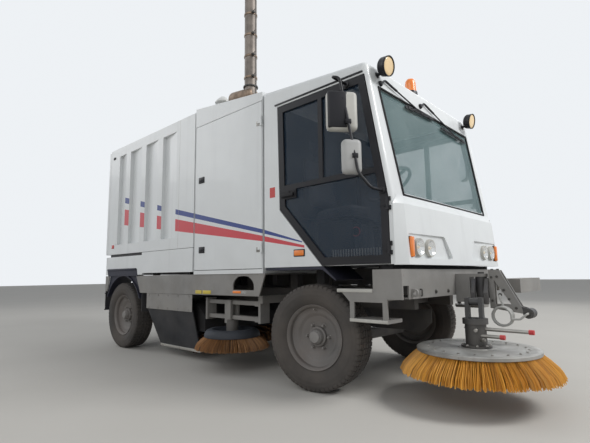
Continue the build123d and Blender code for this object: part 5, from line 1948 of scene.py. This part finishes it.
    def flaps(self, shop: Workshop) -> None:
        """Add the apron under each skirt, the rubber flap below it and the flaps at the rear wheels.

        Args:
            shop: Where the pieces are added.
        """
        apron = Shape().box((-1582, -985, 548), (-576, -981, 735.5))
        for x in (-1520, -1300, -1080, -860, -640):
            for z in (715, 566):
                apron.hexagon((x, -985, z), (0, -1, 0), 18, 5)
        down = Vector((0, *self.flap_lean)).normalized()
        inward = Vector((0, -down.z, down.y))
        place = frame_at((0, -980.5, 563), inward, (1, 0, 0))
        outline = [(-1570, 0), (-578, 0), (-583, 140), (-604, 480), (-1440, 480)]
        flap = Shape().prism(outline, self.flap_thickness, place)
        flap.box((-1712, -985.5, 500), (-1702, -660, 944.5))
        flap.box((-2798, -985, 478), (-2790, -700, 760))
        for z in (470, 696):
            flap.box((-2806, -992, z), (-2782, -690, z + 16), 3)
        strip = Shape().box((-1444, 456, -6), (-600, 486, 18), 2, place)
        for x in (-1400, -1220, -1020, -820, -640):
            strip.hexagon(place @ Vector((x, 471, -6)), -inward, 16, 6)
        shop.add("hood_aprons", apron.mirrored(), "grey_paint")
        shop.add("hood_flaps", flap.mirrored(), "rubber", replaces=["rubber_skirts"])
        shop.add("flap_strips", strip.mirrored(), "light_grey", replaces=["rubber_skirts"])

    def under_cab(self, shop: Workshop) -> None:
        """Add the steps' light tread edges and the dark plate between the rails.

        Args:
            shop: Where the pieces are added.
        """
        treads = Shape().box((1434.5, -1003.5, 803), (1756, -1000.2, 828), 1)
        treads.box((1549.5, -1003.5, 587), (1874.5, -1000.2, 610), 1)
        shop.add("tread_edges", treads.mirrored(), "light_grey")
        upper = [(620, 832), (1740, 832), (1740, 992), (620, 992)]
        lower = [(800, 616), (860, 500), (960, 420), (1620, 420), (1720, 500), (1720, 616)]
        plate = Shape().panel(1, 3, upper, 6).panel(1, 3, lower, 6)
        shop.add("tunnel_plate", plate, "chassis_black")


# Cab inside


@dataclass(frozen=True)
class Pad:
    """One stuffed block of a seat: its box in a leaning frame and the frame's foot, in metres."""

    name: str
    low: Triple
    high: Triple
    lean: float
    foot: Triple
    fill: float = 0.7
    grid: float = 0.016
    frames: int = 14
    reach: float = 0.016

    def build(self, shop: Workshop, side: Side) -> None:
        """Swell the block as cloth and add it.

        Args:
            shop: Where the piece is added.
            side: The side that the seat stands on.
        """
        x, y, z = self.foot
        name, lean = f"{self.name}_{side.label}", Matrix.Rotation(math.radians(self.lean), 4, "Y")
        place = Matrix.Translation((x, side.value * y, z)) @ lean
        worker = self.worker(Shape().box(self.low, self.high, 0.045, place, 4).mesh(name))
        remesh = worker.modifiers.new("even", "REMESH")
        remesh.mode = "VOXEL"
        remesh.voxel_size = self.grid
        mesh = self.bake(worker)
        mesh = self.swell(mesh)
        piece = shop.add(name, mesh, "seat_fabric", "chassis", ["seats"], scale=1.0)
        mesh.polygons.foreach_set("use_smooth", [True] * len(mesh.polygons))
        soft = piece.modifiers.new("soft", "SUBSURF")
        soft.levels = soft.render_levels = 1

    @staticmethod
    def worker(mesh: bpy.types.Mesh) -> bpy.types.Object:
        """Link an object on which a mesh is worked.

        Args:
            mesh: The mesh.

        Returns:
            The object.
        """
        worker = bpy.data.objects.new("swelling", mesh)
        bpy.context.scene.collection.objects.link(worker)
        return worker

    @staticmethod
    def bake(worker: bpy.types.Object) -> bpy.types.Mesh:
        """Apply what is on a working object and remove the object.

        Args:
            worker: The working object.

        Returns:
            The mesh that it shows.
        """
        mesh = evaluated(worker)
        bpy.data.objects.remove(worker)
        return mesh

    def swell(self, mesh: bpy.types.Mesh) -> bpy.types.Mesh:
        """Run the cloth under pressure and cap how far each point moves.

        Args:
            mesh: The block's mesh.

        Returns:
            The swollen mesh.
        """
        before = [v.co.copy() for v in mesh.vertices]
        worker = self.worker(mesh)
        cloth = worker.modifiers.new("cloth", "CLOTH").settings
        cloth.use_pressure = True
        cloth.uniform_pressure_force = 4.0
        cloth.effector_weights.gravity = 0.0
        cloth.quality = 5
        scene = bpy.context.scene
        for frame in range(self.frames):
            scene.frame_set(frame + 1)
        result = self.bake(worker)
        scene.frame_set(1)
        for vertex, start in zip(result.vertices, before):
            move = vertex.co - start
            if move.length > self.reach:
                vertex.co = start + move.normalized() * self.reach
        return result


@dataclass(frozen=True)
class CabInside(Part):
    """Seats with their bases, the console with its dial and the grille at the sill."""

    seat_y: float = 450
    # Pads in metres
    pads: tuple[Pad, ...] = (
        Pad("seat_cushion", (-0.225, -0.205, 0.0), (0.235, 0.205, 0.085), -2.5, (1.130, 0.450, 1.448)),
        Pad("seat_back", (-0.030, -0.200, 0.040), (0.050, 0.200, 0.550), -11.0, (0.880, 0.450, 1.525)),
        Pad("head_rest", (-0.022, -0.105, 0.0), (0.032, 0.105, 0.165), -9.0, (0.803, 0.450, 2.118), 0.8),
    )

    def build(self, shop: Workshop) -> None:
        """Add the seats and the controls.

        Args:
            shop: Where the pieces are added.
        """
        bases = Shape()
        for side in Side:
            for pad in self.pads:
                pad.build(shop, side)
            y = side.value * self.seat_y
            bases.box((930, y - 170, 1050.5), (1330, y + 170, 1420), 15)
            bases.box((885, y - 220, 1418), (1385, y + 220, 1446), 10)
            bases.box((780, y - 215, 1470), (812, y + 215, 2060), 14)
            for dy in (-60, 60):
                bases.rod((812, y + dy, 2020), (800, y + dy, 2135), 7, 10)
        shop.add("seat_bases", bases, "black_trim", replaces=["seats"])
        console = Shape().box((1310, -600, 1050.5), (1400, -500, 1370), 8)
        shop.add("console", console, "dash_plastic")
        place = frame_at((1353, -600.5, 1306), (0, -1, 0))
        rim = Shape().lathe([(34, 0), (43, 0), (44, 6), (40, 10), (35, 8)], place, 40, closed=True)
        shop.add("dial_rim", rim, "red_cap")
        face = Shape().lathe([(0, 0), (34.5, 0), (34.5, 4), (0, 4)], place, 40)
        face.lathe([(0, 0), (10, 0), (10, 12), (0, 14)], place, 20)
        shop.add("dial_face", face, "gasket")
        slat = Shape().box((1330, -915, 1050.8), (1342, -909, 1135), 2)
        name, steps = "sill_grille", ((26, 0, 0), (0, 1824, 0))
        slats = row_mesh(name, slat, shop.palette["light_grey"], (20, 2), steps)
        shop.add(name, slats, "light_grey")


@dataclass(frozen=True)
class Dressing(Part):
    """Finishes for the CAD nodes that show as they are."""

    # The nodes of each finish; a name that ends in an underscore stands for its two sides
    nodes: tuple[tuple[str, str], ...] = (
        ("cab_paint", "cab_shell"),
        ("white_paint", "cabinet_shell cabinet_door_ hopper_body hopper_tailgate lower_panels front_fascia"),
        ("chassis_black", "chassis_frame body_subframe body_mounts front_axle rear_axle"),
        ("chassis_black", "knuckle_ front_swing"),
        ("cast_iron", "engine"),
        ("grey_paint", "front_beam front_locker steps side_skirts side_posts"),
        ("grey_paint", "side_upper_link_ side_lower_link_ side_carrier_"),
        ("motor_grey", "front_arm front_carrier"),
        ("black_trim", "door_ mirror_ wipers work_lamps seats"),
        ("dash_plastic", "dashboard"),
        ("dark_edge", "mudguards"),
        ("rubber", "rubber_skirts"),
        # The hood under the body takes the near-black gasket finish without dust: partly its own dark colour,
        # partly painted shade.
        ("gasket", "sweeper_hood"),
        ("glass", "windscreen"),
        ("door_tint", "door_glass_"),
        ("lamp_glass", "vehicle_lamps"),
        ("amber_plastic", "beacon"),
        ("exhaust_metal", "exhaust_stack"),
    )
    # Columns: node, finish, low corner, high corner
    zones: tuple[tuple[str, str, Triple, Triple], ...] = (
        ("cab_shell", "black_trim", (1.880, -1.100, 1.050), (1.990, -1.0006, 1.550)),
        ("cab_shell", "black_trim", (1.880, 1.0006, 1.050), (1.990, 1.100, 1.550)),
        ("cab_shell", "dark_edge", (0.500, -1.001, 0.990), (2.050, 1.001, 1.0060)),
        # The next two zones paint the side carrier's tube near-black: painted shade in the gap between the
        # link and the dish.
        ("side_carrier_right", "chassis_black", (-0.150, -0.890, 0.340), (-0.010, -0.750, 0.452)),
        ("side_carrier_left", "chassis_black", (-0.150, 0.750, 0.340), (-0.010, 0.890, 0.452)),
        ("front_swing", "grey_paint", (2.258, -0.085, 0.600), (2.600, -0.015, 0.962)),
        ("front_swing", "motor_grey", (2.490, -0.150, 0.580), (2.600, 0.060, 0.672)),
        ("front_carrier", "bolt_steel", (2.330, -0.425, 0.460), (2.610, -0.350, 0.545)),
        ("front_carrier", "red_cap", (2.601, -0.390, 0.500), (2.700, -0.350, 0.550)),
        ("front_carrier", "red_cap", (2.423, -0.430, 0.455), (2.460, -0.390, 0.505)),
    )

    def build(self, shop: Workshop) -> None:
        """Give every CAD node its finish, and some zones one of their own.

        Args:
            shop: Where the pieces are added.
        """
        for finish, names in self.nodes:
            for name in names.split():
                ends = [side.label for side in Side] if name.endswith("_") else [""]
                shop.dress(finish, *(name + end for end in ends))
        for zone in self.zones:
            shop.zone(*zone)


# Stage


@dataclass(frozen=True)
class PhotoCamera:
    """The camera that the photograph was taken with."""

    place: Triple = (3.476, -3.656, 0.935)
    yaw: float = -43.04
    pitch: float = 7.21
    roll: float = 0.68
    focal_px: float = 424.3
    width_px: float = 590.0
    sensor: float = 36.0

    def build(self) -> None:
        """Make the camera and use it for the scene."""
        yaw, pitch, roll = (math.radians(a) for a in (self.yaw, self.pitch, self.roll))
        ahead = Vector((math.sin(yaw) * math.cos(pitch), math.cos(yaw) * math.cos(pitch), math.sin(pitch)))
        right = Vector((math.cos(yaw), -math.sin(yaw), 0.0))
        down = ahead.cross(right)
        across = right * math.cos(roll) + down * math.sin(roll)
        below = down * math.cos(roll) - right * math.sin(roll)
        data = bpy.data.cameras.new("photo_camera")
        data.sensor_fit = "HORIZONTAL"
        data.sensor_width = self.sensor
        data.lens = self.focal_px * self.sensor / self.width_px
        data.clip_end = 200.0
        camera = bpy.data.objects.new("photo_camera", data)
        turned = Matrix((across, -below, -ahead)).transposed().to_4x4()
        camera.matrix_world = Matrix.Translation(self.place) @ turned
        bpy.context.scene.collection.objects.link(camera)
        bpy.context.scene.camera = camera


@dataclass(frozen=True)
class Studio:
    """A pale floor, a pale world and soft lamps."""

    # Columns: name, place, aim, size, watts
    lamps: tuple[tuple[str, Triple, Triple, float, float], ...] = (
        ("key", (9.0, 2.5, 8.5), (0.5, 0.0, 1.2), 4.0, 800.0),
        ("fill", (2.5, -9.5, 5.0), (-0.5, 0.0, 1.2), 7.0, 230.0),
        ("rear", (-9.0, -5.0, 7.0), (-1.5, 0.0, 1.2), 6.0, 160.0),
        ("left", (-2.0, 9.5, 6.0), (-0.5, 0.0, 1.2), 7.0, 160.0),
    )
    # The sky's colour and strength where it lights, and where it is seen
    sky: tuple[tuple[Triple, float], ...] = (((0.80, 0.84, 0.90), 0.42), ((0.90, 0.93, 0.96), 0.95))
    floor_reach: float = 60.0

    def build(self) -> None:
        """Make the world, the floor and the lamps."""
        scene = bpy.context.scene
        scene.view_settings.view_transform = "Standard"
        self.world(scene)
        self.floor(scene)
        for name, place, aim, size, watts in self.lamps:
            data = bpy.data.lights.new(name, "AREA")
            data.size = size
            data.energy = watts
            lamp = bpy.data.objects.new(name, data)
            lamp.matrix_world = frame_at(place, Vector(place) - Vector(aim))
            scene.collection.objects.link(lamp)

    def world(self, scene: bpy.types.Scene) -> None:
        """Make a world that looks brighter than it lights.

        Args:
            scene: The scene.
        """
        world = bpy.data.worlds.new("studio_world")
        scene.world = world
        world.use_nodes = True
        world.node_tree.nodes.clear()
        nodes = Nodes(world.node_tree)
        rays = nodes.node("ShaderNodeLightPath").outputs
        seen = rays["Is Camera Ray"]
        for kind in ("Is Glossy Ray", "Is Transmission Ray"):
            seen = nodes.math("MAXIMUM", seen, rays[kind])
        looks = {0: seen}
        for colour, strength in self.sky:
            inputs = {"Color": colour, "Strength": strength}
            looks[len(looks)] = nodes.out("ShaderNodeBackground", inputs)
        nodes.node("ShaderNodeOutputWorld", {"Surface": nodes.out("ShaderNodeMixShader", looks)})

    def floor(self, scene: bpy.types.Scene) -> None:
        """Make the floor and mark it as the stage.

        Args:
            scene: The scene.
        """
        graph = Graph("floor")
        tone = graph.mix(graph.noise(0.8, 6.0), (0.50, 0.48, 0.44), (0.56, 0.54, 0.50))
        mesh = bpy.data.meshes.new("floor")
        r = self.floor_reach
        mesh.from_pydata([(-r, -r, 0), (r, -r, 0), (r, r, 0), (-r, r, 0)], [], [(0, 1, 2, 3)])
        mesh.materials.append(graph.surface({"Base Color": tone, "Roughness": 0.9}, tone, 0.0))
        floor = bpy.data.objects.new("floor", mesh)
        scene.collection.objects.link(floor)
        floor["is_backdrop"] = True


def main() -> None:
    """Build the whole dressed machine."""
    logging.basicConfig(level=logging.INFO, format="%(name)s: %(message)s")
    shop = Workshop()
    parts = (Dressing, RunningGear, Brushes, Lamps, Wipers, Mirrors, Exhaust, SideTrim, BodyTrim, CabInside)
    for part in parts:
        part().build(shop)
    PhotoCamera().build()
    Studio().build()
    LOG.info("%d pieces added", shop.count)


if __name__ == "__main__":
    main()
